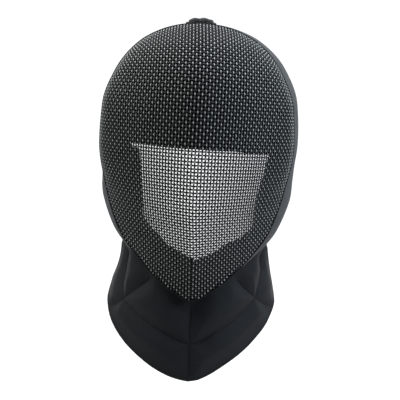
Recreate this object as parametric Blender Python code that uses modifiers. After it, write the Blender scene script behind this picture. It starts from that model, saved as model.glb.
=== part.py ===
"""Fencing mask: a keeled front of woven wire, a cloth side band, linings, a quilted bib and a sprung tongue.

Metres, +Z up. The mask faces -Y and the viewer's right is +X. The origin is the point of the crown lining
that bears on the top of the wearer's head.
"""
import math

import bmesh
import bpy
import numpy as np

# Overall sizes of the wire front
MASK_HEIGHT = 0.258
MASK_WIDTH = 0.1868
MASK_DEPTH = 0.0884
RIM_SETBACK = 0.0444
WIRE_LAYER = 0.0022

# Edge binding and cloth-covered side band
RIM_BEAD = 0.0024
BAND_DEPTH = 0.033
BAND_FLARE = 0.0125
BAND_THICKNESS = 0.003

# Linings behind the wire
LINING_THICKNESS = 0.008
CROWN_PAD_THICKNESS = 0.011
WINDOW_TOP = 0.147
WINDOW_ARCH = 0.007
WINDOW_BOTTOM = 0.036
WINDOW_RISE = 0.034
WINDOW_RIGHT_TOP = 0.072
WINDOW_RIGHT_BOTTOM = 0.062
WINDOW_LEFT_TOP = 0.057
WINDOW_LEFT_BOTTOM = 0.056
CHIN_LINING_FOOT = 0.009

# Quilted bib
BIB_DROP = 0.077
BIB_LEAN = 0.014
BIB_HALF_WIDTH = 0.087
BIB_SIDE_SETBACK = 0.088
BIB_THICKNESS = 0.006
BIB_SEAM_DEPTH = 0.002
BIB_BELLY = 0.006
BIB_ATTACHED_HEIGHT = 0.050
BINDING_BEAD = 0.0022

# Tongue and its bracket on the crown
TONGUE_WIDTH = 0.024
TONGUE_THICKNESS = 0.004
TONGUE_REACH = 0.106
TONGUE_FALL = 0.118
BRACKET_WIDTH = 0.029
BRACKET_LENGTH = 0.022
BRACKET_PLATE = 0.0015
CAP_WIDTH = 0.024
CAP_HEIGHT = 0.0034

# Gap kept between pieces that touch, and round the linings
SEAT_GAP = 0.0003
LINING_GAP = 0.0008

# Level sections of the wire front from chin to crown. Each value is a share: height of MASK_HEIGHT,
# half width of MASK_WIDTH / 2, rim setback of RIM_SETBACK, depth of MASK_DEPTH. The roundness is the
# exponent of the section's curve: 1 is a sharp keel and 2 an ellipse.
SECTION_COLUMNS = ("height", "half_width", "setback", "depth", "roundness")
SECTIONS = (
    (0.00, 0.000, 0.000, 0.000, 1.05),
    (0.03, 0.216, 0.000, 0.046, 1.06),
    (0.06, 0.325, 0.095, 0.142, 1.08),
    (0.12, 0.495, 0.296, 0.335, 1.11),
    (0.25, 0.790, 0.641, 0.685, 1.19),
    (0.40, 0.930, 0.889, 0.928, 1.33),
    (0.55, 1.000, 0.992, 0.982, 1.46),
    (0.70, 0.973, 1.000, 0.928, 1.53),
    (0.83, 0.836, 0.992, 0.819, 1.59),
    (0.93, 0.604, 0.988, 0.597, 1.63),
    (0.98, 0.342, 0.986, 0.335, 1.65),
    (1.00, 0.000, 0.986, 0.148, 1.66),
)

# Side band from chin to crown: depth is a share of BAND_DEPTH and flare of BAND_FLARE
BAND_COLUMNS = ("height", "depth", "flare")
BAND_SECTIONS = (
    (0.00, 0.18, 0.00),
    (0.06, 0.27, 0.10),
    (0.14, 0.52, 0.42),
    (0.24, 0.80, 0.86),
    (0.34, 0.97, 1.00),
    (0.42, 1.00, 0.78),
    (0.50, 1.00, 0.52),
    (0.70, 0.99, 0.46),
    (0.82, 0.95, 0.32),
    (0.92, 0.90, 0.12),
    (1.00, 0.86, 0.00),
)

# Hem of the bib from the front seam to the rear edge: side is a share of BIB_HALF_WIDTH, back of
# BIB_SIDE_SETBACK + BIB_LEAN measured from the tip, and rise of BIB_DROP measured up from the tip
HEM_COLUMNS = ("along", "side", "back", "rise")
HEM_STATIONS = (
    (0.00, 0.00, 0.00, 0.00),
    (0.12, 0.17, 0.03, 0.05),
    (0.28, 0.44, 0.12, 0.18),
    (0.45, 0.71, 0.29, 0.36),
    (0.62, 0.91, 0.50, 0.58),
    (0.78, 1.00, 0.73, 0.75),
    (1.00, 0.99, 1.00, 0.88),
)

# Tongue from its clamped end: back is a share of TONGUE_REACH, fall of TONGUE_FALL
TONGUE_COLUMNS = ("along", "back", "fall")
TONGUE_STATIONS = (
    (0.00, 0.00, 0.00),
    (0.15, 0.27, 0.01),
    (0.35, 0.60, 0.08),
    (0.55, 0.86, 0.27),
    (0.75, 0.99, 0.55),
    (0.90, 1.00, 0.83),
    (1.00, 0.96, 1.00),
)

# Mesh fineness
FRONT_ROWS = 30
FRONT_COLUMNS = 15
BIB_COLUMNS_HALF = 16
BIB_ROWS = 10


def slopes(xs, ys):
    """Slopes at the knots of a curve that never overshoots them."""
    steps = np.diff(xs)
    rates = np.diff(ys) / steps
    knots = np.zeros(len(xs))
    knots[0] = rates[0]
    knots[-1] = rates[-1]
    for k in range(1, len(xs) - 1):
        before, after = rates[k - 1], rates[k]
        if before * after > 0:
            left = 2 * steps[k] + steps[k - 1]
            right = steps[k] + 2 * steps[k - 1]
            knots[k] = (left + right) / (left / before + right / after)
    return knots


def smooth(xs, ys, x):
    """Value at x of the smooth curve through the knots."""
    xs = np.asarray(xs, float)
    ys = np.asarray(ys, float)
    k = int(np.clip(np.searchsorted(xs, x, side="right") - 1, 0, len(xs) - 2))
    step = xs[k + 1] - xs[k]
    t = float(np.clip((x - xs[k]) / step, 0.0, 1.0))
    m = slopes(xs, ys)
    return float(
        ys[k] * (1 + 2 * t) * (1 - t) ** 2
        + m[k] * step * t * (1 - t) ** 2
        + ys[k + 1] * t * t * (3 - 2 * t)
        + m[k + 1] * step * t * t * (t - 1)
    )


def column(table, names, name):
    """One named column of a table."""
    return [row[names.index(name)] for row in table]


def lookup(table, names, key, name, x):
    """Smooth value of a table's column at x of its key column."""
    return smooth(column(table, names, key), column(table, names, name), x)


def half_width(share):
    """Half width of the wire front at a share of its height; its square is what runs smoothly."""
    squares = [value ** 2 for value in column(SECTIONS, SECTION_COLUMNS, "half_width")]
    square = smooth(column(SECTIONS, SECTION_COLUMNS, "height"), squares, share)
    return MASK_WIDTH / 2 * math.sqrt(max(square, 0.0))


def rim_y(share):
    """Y of the rim at a share of the height, behind the chin."""
    return RIM_SETBACK * lookup(SECTIONS, SECTION_COLUMNS, "height", "setback", share)


def depth(share):
    """Distance from the rim forward to the keel."""
    return MASK_DEPTH * lookup(SECTIONS, SECTION_COLUMNS, "height", "depth", share)


def roundness(share):
    """Exponent of the section's curve."""
    return lookup(SECTIONS, SECTION_COLUMNS, "height", "roundness", share)


def front_point(share, turn):
    """Point of the wire front's outer face: turn runs from 0 at the keel to 1 at the rim."""
    angle = turn * math.pi / 2
    power = 2 / roundness(share)
    x = half_width(share) * math.sin(angle) ** power
    y = rim_y(share) - depth(share) * max(math.cos(angle), 0.0) ** power
    return np.array((x, y, share * MASK_HEIGHT))


def turn_at(share, x):
    """Turn at which the section reaches a distance x from the keel plane."""
    width = half_width(share)
    reach = min(abs(x) / max(width, 1e-6), 1.0)
    return math.asin(reach ** (roundness(share) / 2)) * 2 / math.pi


def even_shares(turn, count):
    """Height shares at even steps along the line of one turn, from chin to crown."""
    fine = (1 - np.cos(np.linspace(0.0, math.pi, 400))) / 2
    line = np.array([front_point(share, turn) for share in fine])
    run = np.concatenate(([0.0], np.cumsum(np.linalg.norm(np.diff(line, axis=0), axis=1))))
    return np.interp(np.linspace(0.0, run[-1], count), run, fine)


def row_shares(count):
    """Height shares of the front's rows, spaced well along both the keel and the rim."""
    return (even_shares(0.0, count) + even_shares(1.0, count)) / 2


def inward(share, turn, gap):
    """Point a gap behind the outer face, along its normal."""
    step = 1e-3
    low, high = max(share - step, 0.0), min(share + step, 1.0 - 1e-6)
    near, far = max(turn - step, 0.0), min(turn + step, 1.0)
    up = front_point(high, turn) - front_point(low, turn)
    side = front_point(share, far) - front_point(share, near)
    normal = np.cross(side, up)
    length = np.linalg.norm(normal)
    point = front_point(share, turn)
    if length < 1e-12:
        return point
    moved = point + normal / length * gap * (1 if normal[1] > 0 or normal[0] < 0 else -1)
    moved[0] = max(moved[0], 0.0)
    return moved


def shrunk(share, turn, inset):
    """Point of a smaller copy of the front, drawn in by an inset on every side."""
    centre = np.array((0.0, rim_y(1.0), MASK_HEIGHT / 2))
    sizes = np.array((MASK_WIDTH / 2, MASK_DEPTH, MASK_HEIGHT / 2))
    return centre + (front_point(share, turn) - centre) * (1 - inset / sizes)


def rim_frames():
    """Along the rim from chin to crown: share, outer point, outward direction and bead centre."""
    shares = row_shares(FRONT_ROWS)
    points = np.array([front_point(share, 1.0) for share in shares])
    tangents = np.gradient(points, axis=0)
    tangents[0] = (1.0, 0.0, 0.0)
    tangents[-1] = (-1.0, 0.0, 0.0)
    last_step = 1 / (FRONT_COLUMNS - 1)
    frames = []
    for share, point, tangent in zip(shares, points, tangents):
        if share > 0.0:
            side = point - front_point(share, 1.0 - last_step)
        else:
            side = point - front_point(shares[1], 0.0)
        face = np.cross(side, tangent)
        back = np.cross(tangent, face)
        face /= np.linalg.norm(face)
        back /= np.linalg.norm(back)
        out = np.array((tangent[2], 0.0, -tangent[0]))
        out /= np.linalg.norm(out)
        bead = point - face * WIRE_LAYER / 2 + back * (RIM_BEAD / 2 + SEAT_GAP)
        frames.append((share, point, out, bead))
    return frames


def band_line(back):
    """Line of the band's outer face from chin to crown, at a share of its depth."""
    line = []
    for share, _, out, bead in rim_frames():
        reach = BAND_DEPTH * lookup(BAND_SECTIONS, BAND_COLUMNS, "height", "depth", share)
        flare = BAND_FLARE * lookup(BAND_SECTIONS, BAND_COLUMNS, "height", "flare", share)
        swell = RIM_BEAD / 4 + flare * math.sin(back * math.pi / 2)
        line.append(bead + out * swell + np.array((0.0, RIM_BEAD / 2 + SEAT_GAP + back * reach, 0.0)))
    line[0][0] = 0.0
    line[-1][0] = 0.0
    return line


def seat_point():
    """Point of the crown lining that bears on the wearer's head."""
    return shrunk(1.0, 0.0, WIRE_LAYER + CROWN_PAD_THICKNESS) * np.array((0.0, 0.0, 1.0)) + np.array(
        (0.0, rim_y(1.0), 0.0)
    )


def material(name, colour, roughness, metallic=0.0):
    """A Principled material."""
    made = bpy.data.materials.new(name)
    made.use_nodes = True
    shader = made.node_tree.nodes["Principled BSDF"]
    shader.inputs["Base Color"].default_value = (*colour, 1.0)
    shader.inputs["Roughness"].default_value = roughness
    shader.inputs["Metallic"].default_value = metallic
    made.diffuse_color = (*colour, 1.0)
    return made


def place(name, data, finish, home, parent):
    """Put a mesh or curve in the collection under the parent empty."""
    piece = bpy.data.objects.new(name, data)
    data.materials.append(finish)
    home.objects.link(piece)
    piece.parent = parent
    return piece


def clean_mesh(name, points, faces):
    """A smooth mesh from points and faces, with points that coincide joined."""
    mesh = bpy.data.meshes.new(name)
    mesh.from_pydata([tuple(point) for point in points], [], faces)
    shaped = bmesh.new()
    shaped.from_mesh(mesh)
    bmesh.ops.remove_doubles(shaped, verts=shaped.verts, dist=1e-6)
    bmesh.ops.dissolve_degenerate(shaped, edges=shaped.edges, dist=1e-7)
    shaped.to_mesh(mesh)
    shaped.free()
    mesh.shade_smooth()
    mesh.set_sharp_from_angle(angle=math.radians(40))
    return mesh


def grid_faces(rows, columns, start=0, flip=False):
    """Quads of a grid of points stored row by row."""
    faces = []
    for row in range(rows - 1):
        for col in range(columns - 1):
            a = start + row * columns + col
            quad = (a, a + 1, a + columns + 1, a + columns)
            faces.append(quad[::-1] if flip else quad)
    return faces


def mirror(piece):
    """Complete a half that is open at the middle plane."""
    both = piece.modifiers.new("both sides", "MIRROR")
    both.use_axis = (True, False, False)
    both.use_mirror_merge = True
    both.merge_threshold = 0.00005
    return both


def thicken(piece, wall, offset=-1.0):
    """Give an open surface its wall."""
    solid = piece.modifiers.new("wall", "SOLIDIFY")
    solid.thickness = wall
    solid.offset = offset
    return solid


def sheet_mesh(name, rows, flip=False):
    """Open surface through rows of points, facing left of the way the rows follow each other or right."""
    points = [point for row in rows for point in row]
    return clean_mesh(name, points, grid_faces(len(rows), len(rows[0]), 0, flip))


def slab_mesh(name, outer, inner, open_sides=(), side=1.0):
    """Closed wall between two equal grids; an open side is left for a mirror or a closed tip."""
    rows, columns = len(outer), len(outer[0])
    count = rows * columns
    points = [p * np.array((side, 1.0, 1.0)) for row in (*outer, *inner) for p in row]
    faces = grid_faces(rows, columns) + grid_faces(rows, columns, count, True)
    borders = {
        "first_column": [row * columns for row in range(rows)],
        "last_column": [row * columns + columns - 1 for row in reversed(range(rows))],
        "first_row": list(reversed(range(columns))),
        "last_row": [(rows - 1) * columns + col for col in range(columns)],
    }
    for edge, border in borders.items():
        if edge in open_sides:
            continue
        for a, b in zip(border[:-1], border[1:]):
            faces.append((a, b, count + b, count + a))
    if side < 0:
        faces = [face[::-1] for face in faces]
    return clean_mesh(name, points, faces)


def bead_curve(name, points, diameter, closed):
    """Round bead along a line of points."""
    curve = bpy.data.curves.new(name, "CURVE")
    curve.dimensions = "3D"
    curve.bevel_depth = diameter / 2
    curve.bevel_resolution = 2
    curve.use_fill_caps = not closed
    spline = curve.splines.new("POLY")
    spline.points.add(len(points) - 1)
    for spot, point in zip(spline.points, points):
        spot.co = (*point, 1.0)
    spline.use_cyclic_u = closed
    return curve


def both_sides(half):
    """A half line from one middle point to the other, carried round the other side."""
    other = [point * np.array((-1.0, 1.0, 1.0)) for point in half[-2:0:-1]]
    return list(half) + other


def make_front(home, parent):
    """Wire front as a shell two wires thick."""
    rows = []
    for share in row_shares(FRONT_ROWS):
        rows.append([front_point(share, turn) for turn in np.linspace(0.0, 1.0, FRONT_COLUMNS)])
    finish = material("black steel wire", (0.035, 0.037, 0.04), 0.35, 0.9)
    piece = place("front_mesh", sheet_mesh("front_mesh", rows), finish, home, parent)
    mirror(piece)
    thicken(piece, WIRE_LAYER)


def make_rim(home, parent):
    """Black edge binding round the wire front."""
    half = [bead for _, _, _, bead in rim_frames()]
    curve = bead_curve("mesh_rim", both_sides(half), RIM_BEAD, True)
    place("mesh_rim", curve, material("black edge binding", (0.01, 0.01, 0.011), 0.5), home, parent)


def make_band(home, parent):
    """Cloth-covered strip behind the rim."""
    rows = [band_line(back) for back in (0.0, 0.25, 0.5, 0.75, 1.0)]
    finish = material("grey band cloth", (0.05, 0.051, 0.055), 0.85)
    piece = place("side_band", sheet_mesh("side_band", rows, True), finish, home, parent)
    mirror(piece)
    thicken(piece, BAND_THICKNESS)


def lining_rows(spots, gap, inset):
    """Outer and inner grids of a lining from rows of height share and turn."""
    outer = [[inward(share, turn, gap) for share, turn in row] for row in spots]
    inner = [[shrunk(share, turn, inset) for share, turn in row] for row in spots]
    return outer, inner


def window_edge(turn):
    """Height share of the window's lower edge where it crosses a turn of the front."""
    share = WINDOW_BOTTOM / MASK_HEIGHT
    width = (WINDOW_LEFT_BOTTOM + WINDOW_RIGHT_BOTTOM) / 2
    for _ in range(12):
        x = front_point(share, turn)[0]
        share = (WINDOW_BOTTOM + WINDOW_RISE * (x / width) ** 2) / MASK_HEIGHT
    return share


def window_top(turn):
    """Height share of the window's upper edge where it crosses a turn of the front."""
    share = WINDOW_TOP / MASK_HEIGHT
    width = (WINDOW_LEFT_TOP + WINDOW_RIGHT_TOP) / 2
    for _ in range(12):
        x = front_point(share, turn)[0]
        share = (WINDOW_TOP + WINDOW_ARCH * (1 - (x / width) ** 2)) / MASK_HEIGHT
    return share


def make_crown_lining(home, parent):
    """Padded lining behind the upper wire."""
    above = WINDOW_TOP + 2 * WINDOW_ARCH
    shares = [share for share in row_shares(FRONT_ROWS) if share * MASK_HEIGHT > above]
    turns = np.linspace(0.0, 1.0, FRONT_COLUMNS)
    spots = [[(window_top(turn), turn) for turn in turns]]
    spots += [[(share, turn) for turn in turns] for share in shares]
    outer, inner = lining_rows(spots, WIRE_LAYER + LINING_GAP, WIRE_LAYER + CROWN_PAD_THICKNESS)
    mesh = slab_mesh("crown_lining", outer, inner, ("first_column", "last_row"))
    piece = place("crown_lining", mesh, material("black lining", (0.012, 0.012, 0.014), 0.9), home, parent)
    mirror(piece)


def make_cheek_lining(name, top_width, bottom_width, side, home, parent):
    """Lining behind the wire between the window and the rim on one side."""
    low = WINDOW_BOTTOM + WINDOW_RISE
    spots = []
    for step in np.linspace(0.0, 1.0, 9):
        middle = (low + step * (WINDOW_TOP - low)) / MASK_HEIGHT
        edge_turn = turn_at(middle, bottom_width + (top_width - bottom_width) * step)
        row = []
        for turn in np.linspace(edge_turn, 1.0, 7):
            foot = window_edge(turn) + LINING_GAP / MASK_HEIGHT
            head = window_top(turn) - LINING_GAP / MASK_HEIGHT
            row.append((foot + (head - foot) * step, turn))
        spots.append(row)
    outer, inner = lining_rows(spots, WIRE_LAYER + LINING_GAP, WIRE_LAYER + LINING_THICKNESS)
    mesh = slab_mesh(name, outer, inner, (), side)
    place(name, mesh, material(name.replace("_", " "), (0.012, 0.012, 0.014), 0.9), home, parent)


def make_chin_lining(home, parent):
    """Lining below the window, with a V-shaped upper edge."""
    low = CHIN_LINING_FOOT / MASK_HEIGHT
    spots = []
    for step in np.linspace(0.0, 1.0, 6):
        row = []
        for turn in np.linspace(0.0, 1.0, 11):
            high = window_edge(turn)
            row.append((low + (high - low) * step, turn))
        spots.append(row)
    outer, inner = lining_rows(spots, WIRE_LAYER + LINING_GAP, WIRE_LAYER + LINING_THICKNESS)
    mesh = slab_mesh("chin_lining", outer, inner, ("first_column",))
    piece = place("chin_lining", mesh, material("chin lining", (0.012, 0.012, 0.014), 0.9), home, parent)
    mirror(piece)


def hem_point(along):
    """Point of the bib's hem from the front tip to the rear edge."""
    side, back, rise = (lookup(HEM_STATIONS, HEM_COLUMNS, "along", name, along) for name in HEM_COLUMNS[1:])
    return np.array((
        BIB_HALF_WIDTH * side,
        -BIB_LEAN + (BIB_SIDE_SETBACK + BIB_LEAN) * back,
        -BIB_DROP + BIB_DROP * rise,
    ))


def bib_top_line(count):
    """Upper edge of the bib, sewn against the band's rear edge from the chin up to the ears."""
    edge = np.array(band_line(1.0)) + np.array((0.0, SEAT_GAP, 0.0))
    run = np.concatenate(([0.0], np.cumsum(np.linalg.norm(np.diff(edge, axis=0), axis=1))))
    rising = edge[:, 2] >= edge[0, 2]
    last = float(np.interp(BIB_ATTACHED_HEIGHT, edge[rising, 2], run[rising]))
    picked = np.linspace(0.0, last, count)
    return np.column_stack([np.interp(picked, run, edge[:, axis]) for axis in range(3)])


def bib_seam(along, down):
    """How far the quilting seams draw the bib in, from 0 to 1."""
    chevron = abs(down - 0.5) / 0.1
    side = abs(along - 0.62) / 0.06
    front = abs(along) / 0.06
    nearest = min(chevron if along < 0.65 else 9.0, side, front)
    return math.exp(-nearest ** 2)


def bib_stations():
    """Points of the sewn edge with their shares of the way from the front seam to the rear edge."""
    return list(zip(bib_top_line(BIB_COLUMNS_HALF), np.linspace(0.0, 1.0, BIB_COLUMNS_HALF)))


def bib_point(top, along, down):
    """Point of the bib's outer face: down runs from 0 at the sewn edge to 1 at the hem."""
    out = np.array((math.sin(along * math.pi / 2), -math.cos(along * math.pi / 2), 0.0))
    # The front bulges out and the sides draw in
    belly = math.sin(down * math.pi) * BIB_BELLY * (1.0 - 1.5 * along)
    seam = bib_seam(along, down) * BIB_SEAM_DEPTH if 0.0 < down < 1.0 else 0.0
    point = top + (hem_point(along) - top) * down + out * (belly - seam)
    if along == 0.0:
        point[0] = 0.0
    return point


def make_bib(home, parent):
    """Quilted collar that hangs from the band and ends in a V."""
    stations = bib_stations()
    rows = []
    for down in np.linspace(0.0, 1.0, BIB_ROWS + 1):
        rows.append([bib_point(top, along, down) for top, along in stations])
    finish = material("bib cloth", (0.012, 0.013, 0.017), 0.8)
    piece = place("bib", sheet_mesh("bib", rows, True), finish, home, parent)
    mirror(piece)
    thicken(piece, BIB_THICKNESS)


def make_binding(home, parent):
    """Bound edge along the bib's hem, seated on the wall's lower face."""
    stations = bib_stations()
    hems = np.array([bib_point(top, along, 1.0) for top, along in stations])
    above = np.array([bib_point(top, along, 1.0 - 1 / BIB_ROWS) for top, along in stations])
    runs = np.gradient(hems, axis=0)
    runs[0] = (1.0, 0.0, 0.0)
    half = []
    for hem, run, fall in zip(hems, runs, hems - above):
        out = np.cross(run, fall)
        out *= math.copysign(1.0, out[0] - out[1]) / np.linalg.norm(out)
        down = np.cross(out, run)
        down *= math.copysign(1.0, -down[2]) / np.linalg.norm(down)
        half.append(hem - out * BIB_THICKNESS / 2 + down * (BINDING_BEAD / 2 + SEAT_GAP))
    line = half[::-1] + [point * np.array((-1.0, 1.0, 1.0)) for point in half[1:]]
    curve = bead_curve("bib_binding", line, BINDING_BEAD, False)
    place("bib_binding", curve, material("bib binding", (0.008, 0.008, 0.01), 0.7), home, parent)


def band_height(back, x):
    """Height of the band's outer face over the crown, at a share of its depth and a distance off the middle."""
    crown = [point for point in reversed(band_line(back)) if point[2] > MASK_HEIGHT * 0.9]
    return float(np.interp(x, [point[0] for point in crown], [point[2] for point in crown]))


def bracket_y():
    """Y of the bracket's middle, over the middle of the band."""
    return band_line(0.5)[-1][1]


def make_tongue(home, parent):
    """Sprung padded strap from the crown down behind the head."""
    under = band_height(0.0, TONGUE_WIDTH / 2) - BAND_THICKNESS - SEAT_GAP
    start = np.array((0.0, bracket_y() - BRACKET_LENGTH / 2, under))
    rows = []
    for along in np.linspace(0.0, 1.0, 22):
        back = TONGUE_REACH * lookup(TONGUE_STATIONS, TONGUE_COLUMNS, "along", "back", along)
        fall = TONGUE_FALL * lookup(TONGUE_STATIONS, TONGUE_COLUMNS, "along", "fall", along)
        # The free end is rounded off
        half = TONGUE_WIDTH / 2 * (1.0 if along < 0.95 else 0.82)
        rows.append([start + np.array((x * half, back, -fall)) for x in (-1.0, -0.5, 0.0, 0.5, 1.0)])
    finish = material("tongue padding", (0.02, 0.02, 0.022), 0.85)
    piece = place("tongue", sheet_mesh("tongue", rows), finish, home, parent)
    thicken(piece, TONGUE_THICKNESS)


def block(name, size, centre, edge, finish, home, parent):
    """Block with rounded edges."""
    bpy.ops.mesh.primitive_cube_add(size=1.0, location=(0.0, 0.0, 0.0))
    piece = bpy.context.active_object
    piece.name = name
    for vertex in piece.data.vertices:
        vertex.co = [a * b for a, b in zip(vertex.co, size)]
    for holder in list(piece.users_collection):
        holder.objects.unlink(piece)
    home.objects.link(piece)
    piece.parent = parent
    piece.location = centre
    piece.data.materials.append(finish)
    round_off = piece.modifiers.new("rounded edges", "BEVEL")
    round_off.width = edge
    round_off.segments = 2
    return piece


def make_bracket(home, parent):
    """Plate and covered cap that clamp the tongue on the crown."""
    middle = bracket_y()
    lift = band_height(1.0, 0.0) + SEAT_GAP
    plate_finish = material("black bracket plate", (0.02, 0.02, 0.02), 0.5, 0.4)
    plate_size = (BRACKET_WIDTH, BRACKET_LENGTH, BRACKET_PLATE)
    plate_centre = (0.0, middle, lift + BRACKET_PLATE / 2)
    block("tongue_bracket", plate_size, plate_centre, BRACKET_PLATE * 0.3, plate_finish, home, parent)
    cap_finish = material("cap webbing", (0.016, 0.016, 0.018), 0.9)
    cap_size = (CAP_WIDTH, BRACKET_LENGTH * 0.8, CAP_HEIGHT)
    cap_centre = (0.0, middle, lift + BRACKET_PLATE + SEAT_GAP + CAP_HEIGHT / 2)
    block("tongue_cap", cap_size, cap_centre, CAP_HEIGHT * 0.3, cap_finish, home, parent)


def main():
    """Build the whole mask."""
    for old in list(bpy.data.objects):
        bpy.data.objects.remove(old, do_unlink=True)
    home = bpy.data.collections.new("fencing_mask")
    bpy.context.scene.collection.children.link(home)
    wearer = bpy.data.objects.new("wearer_frame", None)
    home.objects.link(wearer)
    wearer.location = [-value for value in seat_point()]
    make_front(home, wearer)
    make_rim(home, wearer)
    make_band(home, wearer)
    make_crown_lining(home, wearer)
    make_cheek_lining("cheek_lining_right", WINDOW_RIGHT_TOP, WINDOW_RIGHT_BOTTOM, 1.0, home, wearer)
    make_cheek_lining("cheek_lining_left", WINDOW_LEFT_TOP, WINDOW_LEFT_BOTTOM, -1.0, home, wearer)
    make_chin_lining(home, wearer)
    make_bib(home, wearer)
    make_binding(home, wearer)
    make_tongue(home, wearer)
    make_bracket(home, wearer)


main()
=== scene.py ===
"""Fencing mask: woven wire front, edge binding, cloth band, padded linings, quilted bib and sprung tongue.

Lengths are in metres, +Z up, and the mask faces -Y. The frame's origin is the point of the crown lining
that bears on the wearer's head; CHIN is where the keel of the wire front ends below it.
"""

import math
from functools import lru_cache
from types import SimpleNamespace

import bpy
import numpy as np
from mathutils import Matrix, Vector
from mathutils.bvhtree import BVHTree


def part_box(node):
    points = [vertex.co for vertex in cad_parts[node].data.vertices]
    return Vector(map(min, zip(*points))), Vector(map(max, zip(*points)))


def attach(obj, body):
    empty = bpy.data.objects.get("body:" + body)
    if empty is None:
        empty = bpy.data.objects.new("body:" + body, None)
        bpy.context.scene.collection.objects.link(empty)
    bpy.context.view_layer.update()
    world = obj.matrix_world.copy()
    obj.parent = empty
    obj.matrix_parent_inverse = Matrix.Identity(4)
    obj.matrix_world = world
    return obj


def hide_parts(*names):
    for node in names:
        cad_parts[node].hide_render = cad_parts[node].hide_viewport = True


bl_info = {
    "name": "Fencing Mask",
    "version": (1, 0, 0),
    "blender": (4, 5, 0),
    "location": "View3D > Sidebar > Mask",
    "description": "Builds a fencing mask of woven steel wire with a quilted bib",
    "category": "Add Mesh",
}

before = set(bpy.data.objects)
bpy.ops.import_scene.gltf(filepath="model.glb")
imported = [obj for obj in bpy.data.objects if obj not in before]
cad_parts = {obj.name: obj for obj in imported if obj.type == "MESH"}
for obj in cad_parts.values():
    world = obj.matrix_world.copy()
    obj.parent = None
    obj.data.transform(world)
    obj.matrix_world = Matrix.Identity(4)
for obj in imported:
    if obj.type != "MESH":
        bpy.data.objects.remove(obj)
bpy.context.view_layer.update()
FRONT_LOW, FRONT_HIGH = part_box("front_mesh")

# Sizes read from the frame
MASK_HEIGHT = FRONT_HIGH.z - FRONT_LOW.z
MASK_WIDTH = FRONT_HIGH.x - FRONT_LOW.x

# Sizes of the wire front and of its edge
MASK_DEPTH = 0.0884
RIM_SETBACK = 0.0444
WIRE_LAYER = 0.0022
RIM_BEAD = 0.0024
RIM_STEPS = 110
CHIN = np.array((0.0, -0.986 * RIM_SETBACK, FRONT_LOW.z))
FRONT_MIDDLE = CHIN + (0.0, RIM_SETBACK, MASK_HEIGHT / 2)

# The edge binding is drawn a little outwards and forwards, over the cut ends of the wires
BINDING_SHIFT = 0.0008
BINDING_WRAP = 0.0013
BINDING_RADIUS = 0.54 * RIM_BEAD
BINDING_FULLNESS = 1.2

# Roundness added to the wires' face near the rim: it starts at a turn and comes in over a band of heights
EDGE_ROLL = 0.38
EDGE_ROLL_START = 0.5
EDGE_ROLL_LOW = 0.35
EDGE_ROLL_FULL = 0.60

# Weave: steps that a wire is followed from the start, and how flat the wires are pressed
WEAVE_STEPS = 90
WIRE_FLATNESS = 0.92

# The two sets of wires: level or not, their pieces, the wire where these part, and how bright the wires are
# rubbed between the crossings and on top of them. The brightness is partly bare steel from wear and partly a
# painted highlight, and the upright wires get more of it, which is painted light.
WIRE_SETS = (
    (False, ("upright_wires_left", "upright_wires_right"), 0, 0.35, 1.0),
    (True, ("level_wires_lower", "level_wires_upper"), -12, 0.1, 0.45),
)

# Side band
BAND_DEPTH = 0.033
BAND_FLARE = 0.0125
BAND_THICKNESS = 0.003
BAND_TAPE_INSET = 0.0004
BAND_TAPE_RADIUS = 0.62 * BAND_THICKNESS

# Bib
BIB_DROP = 0.077
BIB_LEAN = 0.014
BIB_HALF_WIDTH = 0.087
BIB_SIDE_SETBACK = 0.088
BIB_THICKNESS = 0.006
BIB_ATTACHED_HEIGHT = 0.045
BIB_BELLY = 0.006
BELLY_FADE_RIGHT = 1.1
BELLY_FADE_LEFT = 1.4

# Relief of the bib as (metres, reach): the stitched crease, the soft valley round it and the filling's rise
STITCH = (0.0014, 0.0012)
VALLEY = (0.0026, 0.0075)
FILLING = (0.0022, 0.014)
SEWN_REACH = 0.007

# Tape on the bib's hem, and tape over its seam with the band, which sits a depth inwards
HEM_TAPE_RADIUS = 0.0019
HEM_TAPE_FLATNESS = 0.8
SEAM_TAPE_DEPTH = 0.0014
SEAM_TAPE_RADIUS = 0.0017
SEAM_TAPE_FLATNESS = 0.9

# Tongue and bracket
TONGUE_WIDTH = 0.024
TONGUE_THICKNESS = 0.004
TONGUE_REACH = 0.106
TONGUE_FALL = 0.118
TONGUE_ROUND = 0.1
TONGUE_TAPE_RADIUS = 0.0011
BRACKET_WIDTH = 0.029
BRACKET_LENGTH = 0.022
BRACKET_PLATE = 0.0018
CAP_WIDTH = 0.024
CAP_HEIGHT = 0.0034
SEAT_GAP = 0.0003

# Level sections of the wire front from chin to crown, as shares of the sizes above. The roundness is the
# exponent of the section's curve: 1 is a sharp keel and 2 an ellipse.
SECTION_COLUMNS = ("height", "half_width", "setback", "depth", "roundness")
SECTIONS = (
    (0.00, 0.000, 0.000, 0.000, 1.05),
    (0.03, 0.170, 0.000, 0.046, 1.06),
    (0.06, 0.304, 0.095, 0.142, 1.08),
    (0.12, 0.500, 0.296, 0.335, 1.11),
    (0.25, 0.790, 0.641, 0.685, 1.19),
    (0.40, 0.930, 0.889, 0.928, 1.33),
    (0.55, 1.000, 0.992, 0.982, 1.46),
    (0.70, 0.973, 1.000, 0.928, 1.53),
    (0.83, 0.836, 0.992, 0.819, 1.59),
    (0.93, 0.604, 0.988, 0.597, 1.63),
    (0.98, 0.342, 0.986, 0.335, 1.65),
    (1.00, 0.000, 0.986, 0.148, 1.66),
)

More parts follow.
